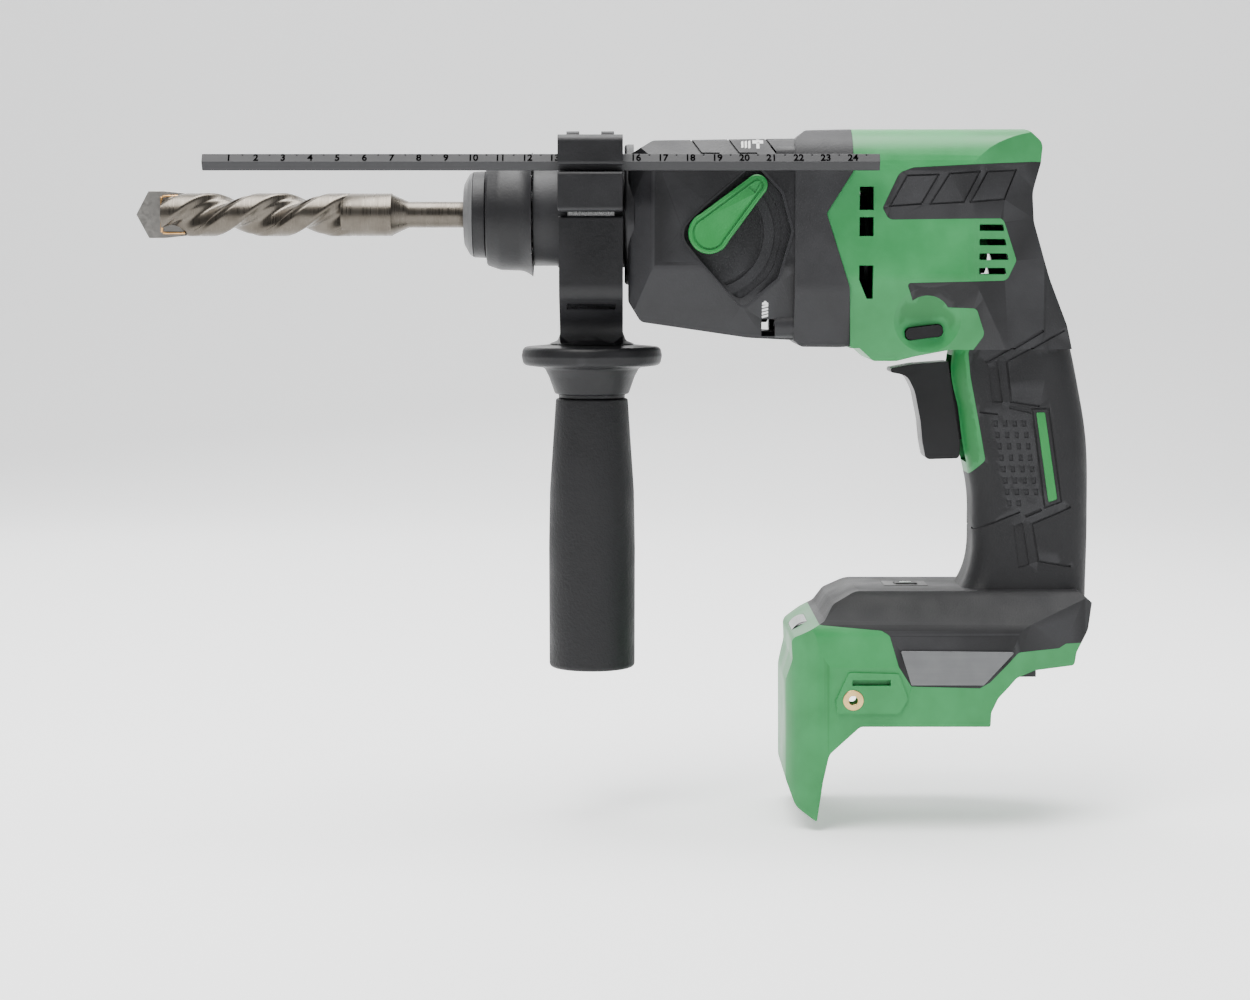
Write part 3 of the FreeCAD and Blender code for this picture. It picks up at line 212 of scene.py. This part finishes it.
patchy = add(grain_group, "ShaderNodeMath", operation="MULTIPLY")
amount = add(grain_group, "ShaderNodeMath", operation="MULTIPLY")
grain_group.links.new(shape.outputs["Pointiness"], ridge.inputs["Value"])
grain_group.links.new(ridge.outputs["Result"], patchy.inputs[0])
grain_group.links.new(slow.outputs["Fac"], patchy.inputs[1])
grain_group.links.new(patchy.outputs["Value"], amount.inputs[0])
grain_group.links.new(grain_in.outputs["Edge Wear"], amount.inputs[1])
grain_group.links.new(amount.outputs["Value"], grain_out.inputs["Wear"])


def moulded(name, dark, light, worn, rough=(0.42, 0.6), grain=900.0, bump=0.06 * MM, wear=0.4,
            waviness=0.3, specular=0.32):
    """Textured plastic, rubber or casting: two close tones, worn edges, fine grain."""
    material = bpy.data.materials.new(name)
    material.use_nodes = True
    tree = material.node_tree
    shader = tree.nodes["Principled BSDF"]
    shader.inputs["Specular IOR Level"].default_value = specular
    group = add(tree, "ShaderNodeGroup", node_tree=grain_group)
    group.inputs["Grain Size"].default_value = grain
    group.inputs["Waviness"].default_value = waviness
    group.inputs["Edge Wear"].default_value = wear
    spread = add(tree, "ShaderNodeMapRange", From_Min=0.25, From_Max=0.75)
    tone = add(tree, "ShaderNodeMix", data_type="RGBA")
    tone.inputs[COLOUR_A].default_value = (*dark, 1)
    tone.inputs[COLOUR_B].default_value = (*light, 1)
    edge_tone = add(tree, "ShaderNodeMix", data_type="RGBA")
    edge_tone.inputs[COLOUR_B].default_value = (*worn, 1)
    gloss = add(tree, "ShaderNodeMapRange", From_Min=0.3, From_Max=0.7, To_Min=rough[0], To_Max=rough[1])
    relief = add(tree, "ShaderNodeBump", Distance=bump, Strength=1.0)
    tree.links.new(group.outputs["Mottle"], spread.inputs["Value"])
    tree.links.new(spread.outputs["Result"], tone.inputs["Factor"])
    tree.links.new(tone.outputs[COLOUR_MIXED], edge_tone.inputs[COLOUR_A])
    tree.links.new(group.outputs["Wear"], edge_tone.inputs["Factor"])
    tree.links.new(edge_tone.outputs[COLOUR_MIXED], shader.inputs["Base Color"])
    tree.links.new(group.outputs["Mottle"], gloss.inputs["Value"])
    tree.links.new(gloss.outputs["Result"], shader.inputs["Roughness"])
    tree.links.new(group.outputs["Height"], relief.inputs["Height"])
    tree.links.new(relief.outputs["Normal"], shader.inputs["Normal"])
    return material


def coat(material, *names):
    """Gives CAD nodes a material in their only slot."""
    for name in names:
        nodes[name].data.materials.clear()
        nodes[name].data.materials.append(material)


body_name = {}
for body, members in frame["record"]["behaviour"]["bodies"].items():
    for member in members:
        body_name[member] = body


def softened(node, new_name, width=0.35, angle=24, flatten=True):
    """Copy of a CAD node in its place, with edges over angle degrees rounded by width in mm."""
    bm = bmesh.new()
    bm.from_mesh(nodes[node].data)
    bmesh.ops.remove_doubles(bm, verts=bm.verts, dist=SAME_PLACE)
    bmesh.ops.dissolve_degenerate(bm, edges=bm.edges, dist=SAME_PLACE)
    if flatten:
        bmesh.ops.dissolve_limit(bm, angle_limit=FLAT_ANGLE, verts=bm.verts, edges=bm.edges)
    piece = finished(new_name, bm, *nodes[node].data.materials)
    if not flatten:
        piece.data.set_sharp_from_angle(angle=math.radians(angle))
    rounding = piece.modifiers.new("edge_rounding", "BEVEL")
    rounding.width = width * MM
    rounding.segments = 2
    rounding.limit_method = "ANGLE"
    rounding.angle_limit = math.radians(angle)
    rounding.miter_outer = "MITER_ARC"
    smoothing = piece.modifiers.new("smooth_rounds", "WEIGHTED_NORMAL")
    smoothing.keep_sharp = True
    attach(piece, body_name[node])
    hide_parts(node)
    return piece


green = moulded(
    "green_nylon", dark=(0.012, 0.150, 0.036), light=(0.017, 0.180, 0.046), worn=(0.06, 0.40, 0.14),
    rough=(0.36, 0.5), grain=1100.0, bump=0.04 * MM, wear=0.5)
coat(green, "housing_left", "housing_right")
softened("housing_left", "left_shell", width=0.25, flatten=False)
softened("housing_right", "right_shell", width=0.25, flatten=False)

# ---- soft overmould ----------------------------------------------------------------
# Charcoal thermoplastic rubber moulded onto both shells, matt and finely pebbled, with
# sunken outlines and a field of grip dimples. The ring behind the gear cover matches it.
soft_black = moulded(
    "charcoal_rubber", dark=(0.0075, 0.0075, 0.0085), light=(0.013, 0.013, 0.0145),
    worn=(0.06, 0.06, 0.065), rough=(0.5, 0.68), grain=1300.0, bump=0.12 * MM, wear=0.5)
coat(soft_black, "overmould_left", "overmould_right", "bumper_ring")
softened("overmould_left", "left_overmould", width=0.12, flatten=False)
softened("overmould_right", "right_overmould", width=0.12, flatten=False)
softened("bumper_ring", "soft_ring", width=0.4)

# ---- gear cover --------------------------------------------------------------------
# Black glass-filled nylon case over the gears, with a coarser spark texture that
# catches the light on its chamfers. Four long screws hold it from the front.
hard_black = moulded(
    "black_nylon", dark=(0.0055, 0.0055, 0.0065), light=(0.0100, 0.0100, 0.0115),
    worn=(0.05, 0.05, 0.055), rough=(0.4, 0.56), grain=1000.0, bump=0.13 * MM, wear=0.5)
coat(hard_black, "gear_cover")
softened("gear_cover", "gear_case", width=0.3, flatten=False)

# ---- mode lever ---------------------------------------------------------------------
# Bright green teardrop knob on the left, moulded in one piece, with a raised rim and a
# small arrow by its tip that points at the chosen mode.
lever_green = moulded(
    "lever_green", dark=(0.015, 0.185, 0.040), light=(0.020, 0.210, 0.050), worn=(0.08, 0.46, 0.16),
    rough=(0.33, 0.42), grain=1200.0, bump=0.03 * MM, wear=0.4)
coat(lever_green, "mode_lever")
softened("mode_lever", "mode_knob", width=0.25)

# ---- drill bit ----------------------------------------------------------------------
# Masonry bit milled from one steel bar: two deep helical flutes behind a brazed carbide
# plate, a plain neck and a ground 10 mm shank. Heat leaves the flutes a warm grey.
BIT_RADIUS = 8.3 * MM
SHANK_RADIUS = 5.0 * MM
FLUTES_FRONT = -115.5 * MM
FLUTES_REAR = -44.0 * MM
LEAD = 55.0 * MM
WINDING_STEPS = 110
FLUTE_DEPTH = 0.47
FLUTE_ROUNDNESS = 0.8
LAND_RELIEF = 0.16
LAND_LEAN = 0.4


def metal(name, dark, light, rough=(0.22, 0.4), stretch=(2600, 60, 60)):
    """Machined metal: fine tool marks stretched along one direction, and a mottled tone."""
    material = bpy.data.materials.new(name)
    material.use_nodes = True
    tree = material.node_tree
    shader = tree.nodes["Principled BSDF"]
    shader.inputs["Metallic"].default_value = 1.0
    where = add(tree, "ShaderNodeTexCoord")
    drawn = add(tree, "ShaderNodeMapping", Scale=stretch)
    marks = add(tree, "ShaderNodeTexNoise", Scale=1.0, Detail=3.0)
    stains = add(tree, "ShaderNodeTexNoise", Scale=140.0, Detail=5.0)
    tone = add(tree, "ShaderNodeMix", data_type="RGBA")
    tone.inputs[COLOUR_A].default_value = (*dark, 1)
    tone.inputs[COLOUR_B].default_value = (*light, 1)
    gloss = add(tree, "ShaderNodeMapRange", From_Min=0.3, From_Max=0.7, To_Min=rough[0], To_Max=rough[1])
    relief = add(tree, "ShaderNodeBump", Distance=0.01 * MM, Strength=1.0)
    tree.links.new(where.outputs["Object"], drawn.inputs["Vector"])
    tree.links.new(drawn.outputs["Vector"], marks.inputs["Vector"])
    tree.links.new(where.outputs["Object"], stains.inputs["Vector"])
    tree.links.new(stains.outputs["Fac"], tone.inputs["Factor"])
    tree.links.new(tone.outputs[COLOUR_MIXED], shader.inputs["Base Color"])
    tree.links.new(marks.outputs["Fac"], gloss.inputs["Value"])
    tree.links.new(gloss.outputs["Result"], shader.inputs["Roughness"])
    tree.links.new(marks.outputs["Fac"], relief.inputs["Height"])
    tree.links.new(relief.outputs["Normal"], shader.inputs["Normal"])
    return material


bit_steel = metal("bit_steel", dark=(0.060, 0.051, 0.040), light=(0.165, 0.149, 0.128), rough=(0.24, 0.42))
coat(bit_steel, "drill_bit")

# The fluted front: one rounded section with two valleys, wound back along the bit's axis.
bm = bmesh.new()
section = bmesh.ops.create_circle(bm, cap_ends=False, segments=64, radius=BIT_RADIUS)["verts"]
for vert in section:
    turn = math.atan2(vert.co.y, vert.co.x)
    flute = max(0.0, math.cos(2 * turn)) ** FLUTE_ROUNDNESS
    land = max(0.0, -math.cos(4 * turn - LAND_LEAN)) ** 4 * LAND_RELIEF
    vert.co *= 1.0 - FLUTE_DEPTH * flute - land * (1.0 - flute)
bmesh.ops.rotate(bm, verts=section, cent=(0, 0, 0), matrix=Matrix.Rotation(math.radians(90), 3, "Y"))
bmesh.ops.translate(bm, verts=section, vec=(FLUTES_FRONT, 0, 0))
bmesh.ops.spin(bm, geom=section + bm.edges[:], cent=(0, 0, 0), axis=(1, 0, 0), steps=WINDING_STEPS,
               angle=-2 * math.pi * (FLUTES_REAR - FLUTES_FRONT) / LEAD,
               dvec=((FLUTES_REAR - FLUTES_FRONT) / WINDING_STEPS, 0, 0))
for foremost in (min, max):
    end_x = foremost(vert.co.x for vert in bm.verts)
    rim = [edge for edge in bm.edges if all(abs(vert.co.x - end_x) < SAME_PLACE / 2 for vert in edge.verts)]
    bmesh.ops.contextual_create(bm, geom=rim)
bmesh.ops.recalc_face_normals(bm, faces=bm.faces)
flutes = finished("bit_flutes", bm, bit_steel)
split = flutes.modifiers.new("crisp_lands", "EDGE_SPLIT")
split.split_angle = math.radians(38)
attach(flutes, "bit")

# The turned rear: it starts between the flutes, narrows in a cone and ends in a chamfer.
TUCKED_IN = 3.0 * MM
COLLAR_RADIUS = BIT_RADIUS - 0.1 * MM
CONE_FRONT = -27.8 * MM
CONE_REAR = -21.2 * MM
SHANK_REAR = 51.9 * MM
profile = [
    (FLUTES_REAR - TUCKED_IN, 0.0), (FLUTES_REAR - TUCKED_IN, BIT_RADIUS - 1.2 * MM),
    (FLUTES_REAR, COLLAR_RADIUS), (CONE_FRONT, COLLAR_RADIUS),
    (CONE_FRONT + 0.6 * MM, COLLAR_RADIUS - 0.5 * MM),
    (CONE_REAR - 1.0 * MM, SHANK_RADIUS + 0.4 * MM), (CONE_REAR, SHANK_RADIUS),
    (SHANK_REAR - 1.4 * MM, SHANK_RADIUS), (SHANK_REAR - 0.1 * MM, SHANK_RADIUS - 1.1 * MM),
    (SHANK_REAR, 0.0),
]
bm = bmesh.new()
chain = [bm.verts.new((x, 0, radius)) for x, radius in profile]
for pair in zip(chain, chain[1:]):
    bm.edges.new(pair)
bmesh.ops.spin(bm, geom=bm.verts[:] + bm.edges[:], cent=(0, 0, 0), axis=(1, 0, 0), angle=2 * math.pi,
               steps=64, use_merge=True)
bmesh.ops.remove_doubles(bm, verts=bm.verts, dist=SAME_PLACE / 2)
bmesh.ops.recalc_face_normals(bm, faces=bm.faces)
shank = finished("bit_shank", bm, bit_steel)
split = shank.modifiers.new("crisp_edges", "EDGE_SPLIT")
split.split_angle = math.radians(35)
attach(shank, "bit")
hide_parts("drill_bit")

# Carbide plate, ground to a roof point, with a bead of brazing brass along its slot.
BEAD_THICK = 0.8 * MM
PLATE_SIDE = 2.0 * MM
carbide = metal(
    "carbide", dark=(0.22, 0.21, 0.20), light=(0.34, 0.33, 0.31), rough=(0.3, 0.45), stretch=(900, 900, 900))
coat(carbide, "carbide_tip")
softened("carbide_tip", "carbide_plate", width=0.15)
braze = metal(
    "braze", dark=(0.50, 0.27, 0.10), light=(0.72, 0.45, 0.20), rough=(0.3, 0.5), stretch=(700, 700, 700))
bm = bmesh.new()
for side in (PLATE_SIDE, -PLATE_SIDE):
    for middle, size in (
        ((-111.4 * MM, side, 7.0 * MM), (8.6 * MM, BEAD_THICK, 0.9 * MM)),
        ((-111.4 * MM, side, -7.0 * MM), (8.6 * MM, BEAD_THICK, 0.9 * MM)),
        ((-116.0 * MM, side, 0), (1.0 * MM, BEAD_THICK, 13.6 * MM)),
    ):
        bead = bmesh.ops.create_cube(bm, size=1.0)["verts"]
        bmesh.ops.scale(bm, verts=bead, vec=size)
        bmesh.ops.translate(bm, verts=bead, vec=middle)
bmesh.ops.bevel(bm, geom=bm.edges[:], offset=0.3 * MM, affect="EDGES", segments=2, profile=0.5, material=-1)
beads = finished("braze_beads", bm, braze)
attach(beads, "bit")

# ---- tool holder ---------------------------------------------------------------------
# Hardened steel barrel inside a grey dust cap, a black collar and a black sleeve that
# slides back to free the bit. The barrel is turned, the cap, collar and sleeve are moulded.
bright_steel = metal("bright_steel", dark=(0.42, 0.42, 0.42), light=(0.60, 0.60, 0.60), rough=(0.2, 0.34))
dark_steel = metal("blackened_steel", dark=(0.10, 0.10, 0.105), light=(0.17, 0.17, 0.18), rough=(0.32, 0.5))
cap_grey = moulded(
    "cap_grey", dark=(0.085, 0.086, 0.088), light=(0.110, 0.111, 0.113), worn=(0.22, 0.22, 0.22),
    rough=(0.4, 0.55), grain=1200.0, bump=0.05 * MM, wear=0.4)
coat(bright_steel, "chuck_spring", "lock_balls")
coat(dark_steel, "tool_holder_barrel", "chuck_release_ring", "impact_bolt")
coat(soft_black, "oil_seal")
coat(cap_grey, "dust_cap")
coat(hard_black, "chuck_sleeve", "front_retaining_collar")
softened("chuck_sleeve", "release_sleeve", width=0.3, angle=40)
softened("dust_cap", "front_cap", width=0.3, angle=40)
softened("front_retaining_collar", "front_collar", width=0.25, angle=40)

# ---- side handle ---------------------------------------------------------------------
# Moulded saddle and upper band round the nose, drawn together by a steel strap when the
# grip is screwed up. The grip is a nylon core with a pebbled rubber sleeve.
pebbled = moulded(
    "pebbled_rubber", dark=(0.0065, 0.0065, 0.0075), light=(0.012, 0.012, 0.0135),
    worn=(0.05, 0.05, 0.055), rough=(0.5, 0.7), grain=850.0, bump=0.3 * MM, wear=0.3, waviness=0.12)
coat(pebbled, "grip_sleeve")
coat(hard_black, "handle_saddle", "gauge_ear", "upper_band", "grip_core_with_nut")
coat(bright_steel, "handle_bolt", "steel_strap")
softened("handle_saddle", "clamp_saddle", width=0.5)
softened("gauge_ear", "clamp_ear", width=0.5)
softened("upper_band", "clamp_band", width=0.6)
softened("grip_core_with_nut", "grip_flange", width=0.4)
softened("grip_sleeve", "grip_rubber", width=0.3)

# ---- depth gauge -----------------------------------------------------------------------
# Six-sided nylon rod that slides through the clamp. A number stands proud at every
# centimetre on its upper left flat, with a notch in the edge above halfway to the next.
CENTIMETRE = 10 * MM
LAST_NUMBER = 24
HALF_ACROSS_FLATS = 3.0 * MM
NUMBER_LIFT = 0.03 * MM
gauge_nylon = moulded(
    "gauge_nylon", dark=(0.022, 0.022, 0.024), light=(0.032, 0.032, 0.034), worn=(0.08, 0.08, 0.085),
    rough=(0.45, 0.6), grain=1200.0, bump=0.08 * MM, wear=0.4)
coat(gauge_nylon, "depth_gauge")
softened("depth_gauge", "depth_rod", width=0.15)
number_ink = moulded(
    "gauge_numbers", dark=(0.0005, 0.0005, 0.0006), light=(0.0010, 0.0010, 0.0011),
    worn=(0.003, 0.003, 0.003), rough=(0.75, 0.85), bump=0.02 * MM, specular=0.0)
rod_low, rod_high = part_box("depth_gauge")
rod_y = (rod_low[1] + rod_high[1]) / 2
rod_z = (rod_low[2] + rod_high[2]) / 2
slope = math.radians(30)
facing = Vector((0, -math.cos(slope), math.sin(slope)))
upward = Vector((0, math.sin(slope), math.cos(slope)))
for number in range(1, LAST_NUMBER + 1):
    writing = bpy.data.curves.new("number_%02d" % number, "FONT")
    writing.body = str(number)
    writing.size = 3.9 * MM
    writing.extrude = 0.09 * MM
    writing.offset = 0.08 * MM
    writing.align_x = "CENTER"
    writing.align_y = "CENTER"
    writing.resolution_u = 3
    drawn = bpy.data.objects.new("drawn", writing)
    scene.collection.objects.link(drawn)
    bpy.context.view_layer.update()
    bm = bmesh.new()
    bm.from_mesh(drawn.to_mesh())
    drawn.to_mesh_clear()
    bpy.data.objects.remove(drawn)
    centre = Vector((rod_low[0] + CENTIMETRE * number, rod_y, rod_z))
    centre += facing * (HALF_ACROSS_FLATS + NUMBER_LIFT)
    place = Matrix((
        (1, 0, 0, centre.x),
        (0, upward.y, facing.y, centre.y),
        (0, upward.z, facing.z, centre.z),
        (0, 0, 0, 1),
    ))
    bmesh.ops.transform(bm, matrix=place, verts=bm.verts)
    bmesh.ops.remove_doubles(bm, verts=bm.verts, dist=SAME_PLACE / 2)
    figure = finished("gauge_number_%02d" % number, bm, number_ink, smooth=False)
    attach(figure, "gauge")

# ---- printed symbols --------------------------------------------------------------------
# White pad-printed symbols on the gear cover by the lever's two ends: hammering with
# turning above, turning alone below. They are a hair thick.
INK_LIFT = 0.05 * MM
INK_THICKNESS = 0.04 * MM
print_white = moulded(
    "print_white", dark=(0.72, 0.72, 0.72), light=(0.80, 0.80, 0.80), worn=(0.6, 0.6, 0.6),
    rough=(0.5, 0.6), bump=0.01 * MM, wear=0.1)


def bvh_of(piece):
    """Search tree over a piece's mesh as it stands."""
    bm = bmesh.new()
    bm.from_mesh(piece.data)
    tree = BVHTree.FromBMesh(bm)
    bm.free()
    return tree


def laid_on(tree, bm):
    """Lays a flat mesh, drawn in X and Z, onto the surface that it faces from the left."""
    for vert in bm.verts:
        hit = tree.ray_cast(Vector((vert.co.x, -0.2, vert.co.z)), Vector((0, 1, 0)))[0]
        if hit is not None:
            vert.co = hit + Vector((0, -INK_LIFT, 0))


def bar(bm, x, z, wide, tall, lean=0.0):
    """Small slanted rectangle in the X-Z plane, in millimetres."""
    grid = bmesh.ops.create_grid(bm, x_segments=4, y_segments=4, size=0.5)["verts"]
    bmesh.ops.scale(bm, verts=grid, vec=(wide * MM, tall * MM, 1))
    for vert in grid:
        vert.co = Vector((vert.co.x, 0, vert.co.y + vert.co.x * lean))
    bmesh.ops.translate(bm, verts=grid, vec=(x * MM, 0, z * MM))
    return grid


cover_tree = bvh_of(nodes["gear_cover"])

# Below: a drill point over four slanted turns.
POINT_X = 114.2
POINT_BASE_Z = -33.2
POINT_TAPER = 0.35
bm = bmesh.new()
for i in range(4):
    bar(bm, x=POINT_X, z=-38.4 + 1.25 * i, wide=2.3, tall=0.85, lean=0.25)
point = bar(bm, x=POINT_X, z=-33.4, wide=2.3, tall=1.4)
for vert in point:
    if vert.co.z > POINT_BASE_Z * MM:
        vert.co.x = POINT_X * MM + (vert.co.x - POINT_X * MM) * POINT_TAPER
laid_on(cover_tree, bm)
bmesh.ops.solidify(bm, geom=bm.faces[:], thickness=INK_THICKNESS)
drill_symbol = finished("symbol_drilling", bm, print_white, smooth=False)
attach(drill_symbol, "body")

# Above: a hammer, with three slanted turns in front of it.
HAMMER_X = 111.2
bm = bmesh.new()
bar(bm, x=HAMMER_X, z=25.8, wide=1.1, tall=3.4)
bar(bm, x=HAMMER_X, z=26.6, wide=4.0, tall=1.2)
for i in range(3):
    bar(bm, x=105.4 + 1.3 * i, z=25.6, wide=0.8, tall=2.4 + 0.2 * i, lean=0.3)
laid_on(cover_tree, bm)
bmesh.ops.solidify(bm, geom=bm.faces[:], thickness=INK_THICKNESS)
hammer_symbol = finished("symbol_hammer_drilling", bm, print_white, smooth=False)
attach(hammer_symbol, "body")

# ---- trigger and direction button ---------------------------------------------------------
# Black acetal trigger and a cross button above it, both moulded smoother than the housing.
# The trigger slides on the switch behind it, and the button is pushed through from side to side.
satin_black = moulded(
    "satin_black", dark=(0.0035, 0.0035, 0.004), light=(0.0060, 0.0060, 0.0070),
    worn=(0.04, 0.04, 0.045), rough=(0.3, 0.42), grain=1400.0, bump=0.03 * MM, wear=0.5)
coat(satin_black, "trigger", "direction_button")
coat(hard_black, "switch_body")
coat(bright_steel, "trigger_spring")
softened("trigger", "trigger_blade", width=0.9, angle=40)
softened("direction_button", "cross_button", width=0.4)

# ---- label panels and grip bars ------------------------------------------------------------
# Brushed grey plates set in the foot's sides, and green moulded strips let into the grip.
# Both are pressed into shallow pockets and carry no print.
plate_grey = metal(
    "plate_grey", dark=(0.13, 0.133, 0.137), light=(0.18, 0.183, 0.187), rough=(0.38, 0.5),
    stretch=(40, 40, 2600))
coat(plate_grey, "label_panels")
coat(lever_green, "grip_bars")
softened("label_panels", "foot_plates", width=0.3)
softened("grip_bars", "grip_strips", width=0.25)

# ---- foot fittings -------------------------------------------------------------------------
# Brass inserts moulded into the foot's bosses, a dark lens for the work light, and a
# rubber push button in its black frame.
brass = metal(
    "brass", dark=(0.50, 0.33, 0.12), light=(0.72, 0.52, 0.24), rough=(0.2, 0.34), stretch=(300, 2600, 300))
coat(brass, "brass_inserts", "terminal_blades")
coat(hard_black, "button_panel", "controller_module", "terminal_block")
coat(soft_black, "bay_buffers", "light_button")
softened("brass_inserts", "threaded_inserts", width=0.25, angle=40)
softened("button_panel", "button_frame", width=0.2)
smoked = bpy.data.materials.new("smoked_lens")
smoked.use_nodes = True
smoked_tree = smoked.node_tree
smoked_shader = smoked_tree.nodes["Principled BSDF"]
haze = add(smoked_tree, "ShaderNodeTexNoise", Scale=400.0, Detail=3.0)
where = add(smoked_tree, "ShaderNodeTexCoord")
tint = add(smoked_tree, "ShaderNodeMix", data_type="RGBA")
tint.inputs[COLOUR_A].default_value = (0.010, 0.011, 0.013, 1)
tint.inputs[COLOUR_B].default_value = (0.030, 0.032, 0.036, 1)
smoked_tree.links.new(where.outputs["Object"], haze.inputs["Vector"])
smoked_tree.links.new(haze.outputs["Fac"], tint.inputs["Factor"])
smoked_tree.links.new(tint.outputs[COLOUR_MIXED], smoked_shader.inputs["Base Color"])
smoked_shader.inputs["Roughness"].default_value = 0.12
smoked_shader.inputs["Coat Weight"].default_value = 0.6
coat(smoked, "light_lens")

# Small green window in the push button, let in flush and lit when the work light is on.
WINDOW_SIZE = (4.6 * MM, 3.4 * MM, 0.5 * MM)
WINDOW_CORNER = 0.8 * MM
WINDOW_EDGE = 0.12 * MM
WINDOW_SUNK = 0.18 * MM
window_green = moulded(
    "window_green", dark=(0.006, 0.060, 0.020), light=(0.010, 0.085, 0.030), worn=(0.03, 0.2, 0.08),
    rough=(0.12, 0.2), bump=0.005 * MM, wear=0.2)
button_low, button_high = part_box("light_button")
bm = bmesh.new()
window = bmesh.ops.create_cube(bm, size=1.0)["verts"]
bmesh.ops.scale(bm, verts=window, vec=WINDOW_SIZE)
uprights = [edge for edge in bm.edges if abs(edge.verts[0].co.z - edge.verts[1].co.z) > WINDOW_EDGE]
bmesh.ops.bevel(bm, geom=uprights, offset=WINDOW_CORNER, affect="EDGES", segments=4, profile=0.5, material=-1)
upper_rim = [edge for edge in bm.edges if min(vert.co.z for vert in edge.verts) > 0]
bmesh.ops.bevel(bm, geom=upper_rim, offset=WINDOW_EDGE, affect="EDGES", segments=2, profile=0.5, material=-1)
bmesh.ops.translate(bm, verts=bm.verts, vec=((button_low[0] + button_high[0]) / 2,
                                             (button_low[1] + button_high[1]) / 2,
                                             button_high[2] - WINDOW_SUNK))
button_window = finished("button_window", bm, window_green)
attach(button_window, "light_button")

# ---- motor, gears and screws -------------------------------------------------------------------
# Laminated iron and copper windings of the motor, hardened gears and shafts, and the cast inner
# cover, which show only through the air slots. Zinc-plated screws hold the gear cover from the
# front, and blackened ones join the housing halves from the right.
iron = metal(
    "laminated_iron", dark=(0.16, 0.16, 0.17), light=(0.26, 0.26, 0.27), rough=(0.35, 0.5),
    stretch=(3000, 30, 30))
copper = metal(
    "enamelled_copper", dark=(0.42, 0.16, 0.07), light=(0.62, 0.26, 0.12), rough=(0.25, 0.4),
    stretch=(60, 1800, 1800))
cast = moulded(
    "cast_metal", dark=(0.22, 0.22, 0.23), light=(0.32, 0.32, 0.33), worn=(0.5, 0.5, 0.5),
    rough=(0.4, 0.6), grain=700.0, bump=0.2 * MM)
zinc_steel = metal("zinc_steel", dark=(0.12, 0.12, 0.125), light=(0.20, 0.20, 0.205), rough=(0.3, 0.45))
coat(iron, "rotor_body")
coat(copper, "stator")
coat(cast, "inner_cover")
coat(hard_black, "cooling_fan")
coat(bright_steel, "spindle_bearings", "shaft_bearings", "pinned_piston")
coat(dark_steel, "motor_bearings", "rotor_shaft", "first_gear", "intermediate_shaft", "drive_pinion",
     "spindle_gear", "clutch_sleeve", "wobble_bearing", "wobble_ring", "sealed_striker", "shift_plate",
     "housing_screws")
coat(zinc_steel, "gear_cover_screws")
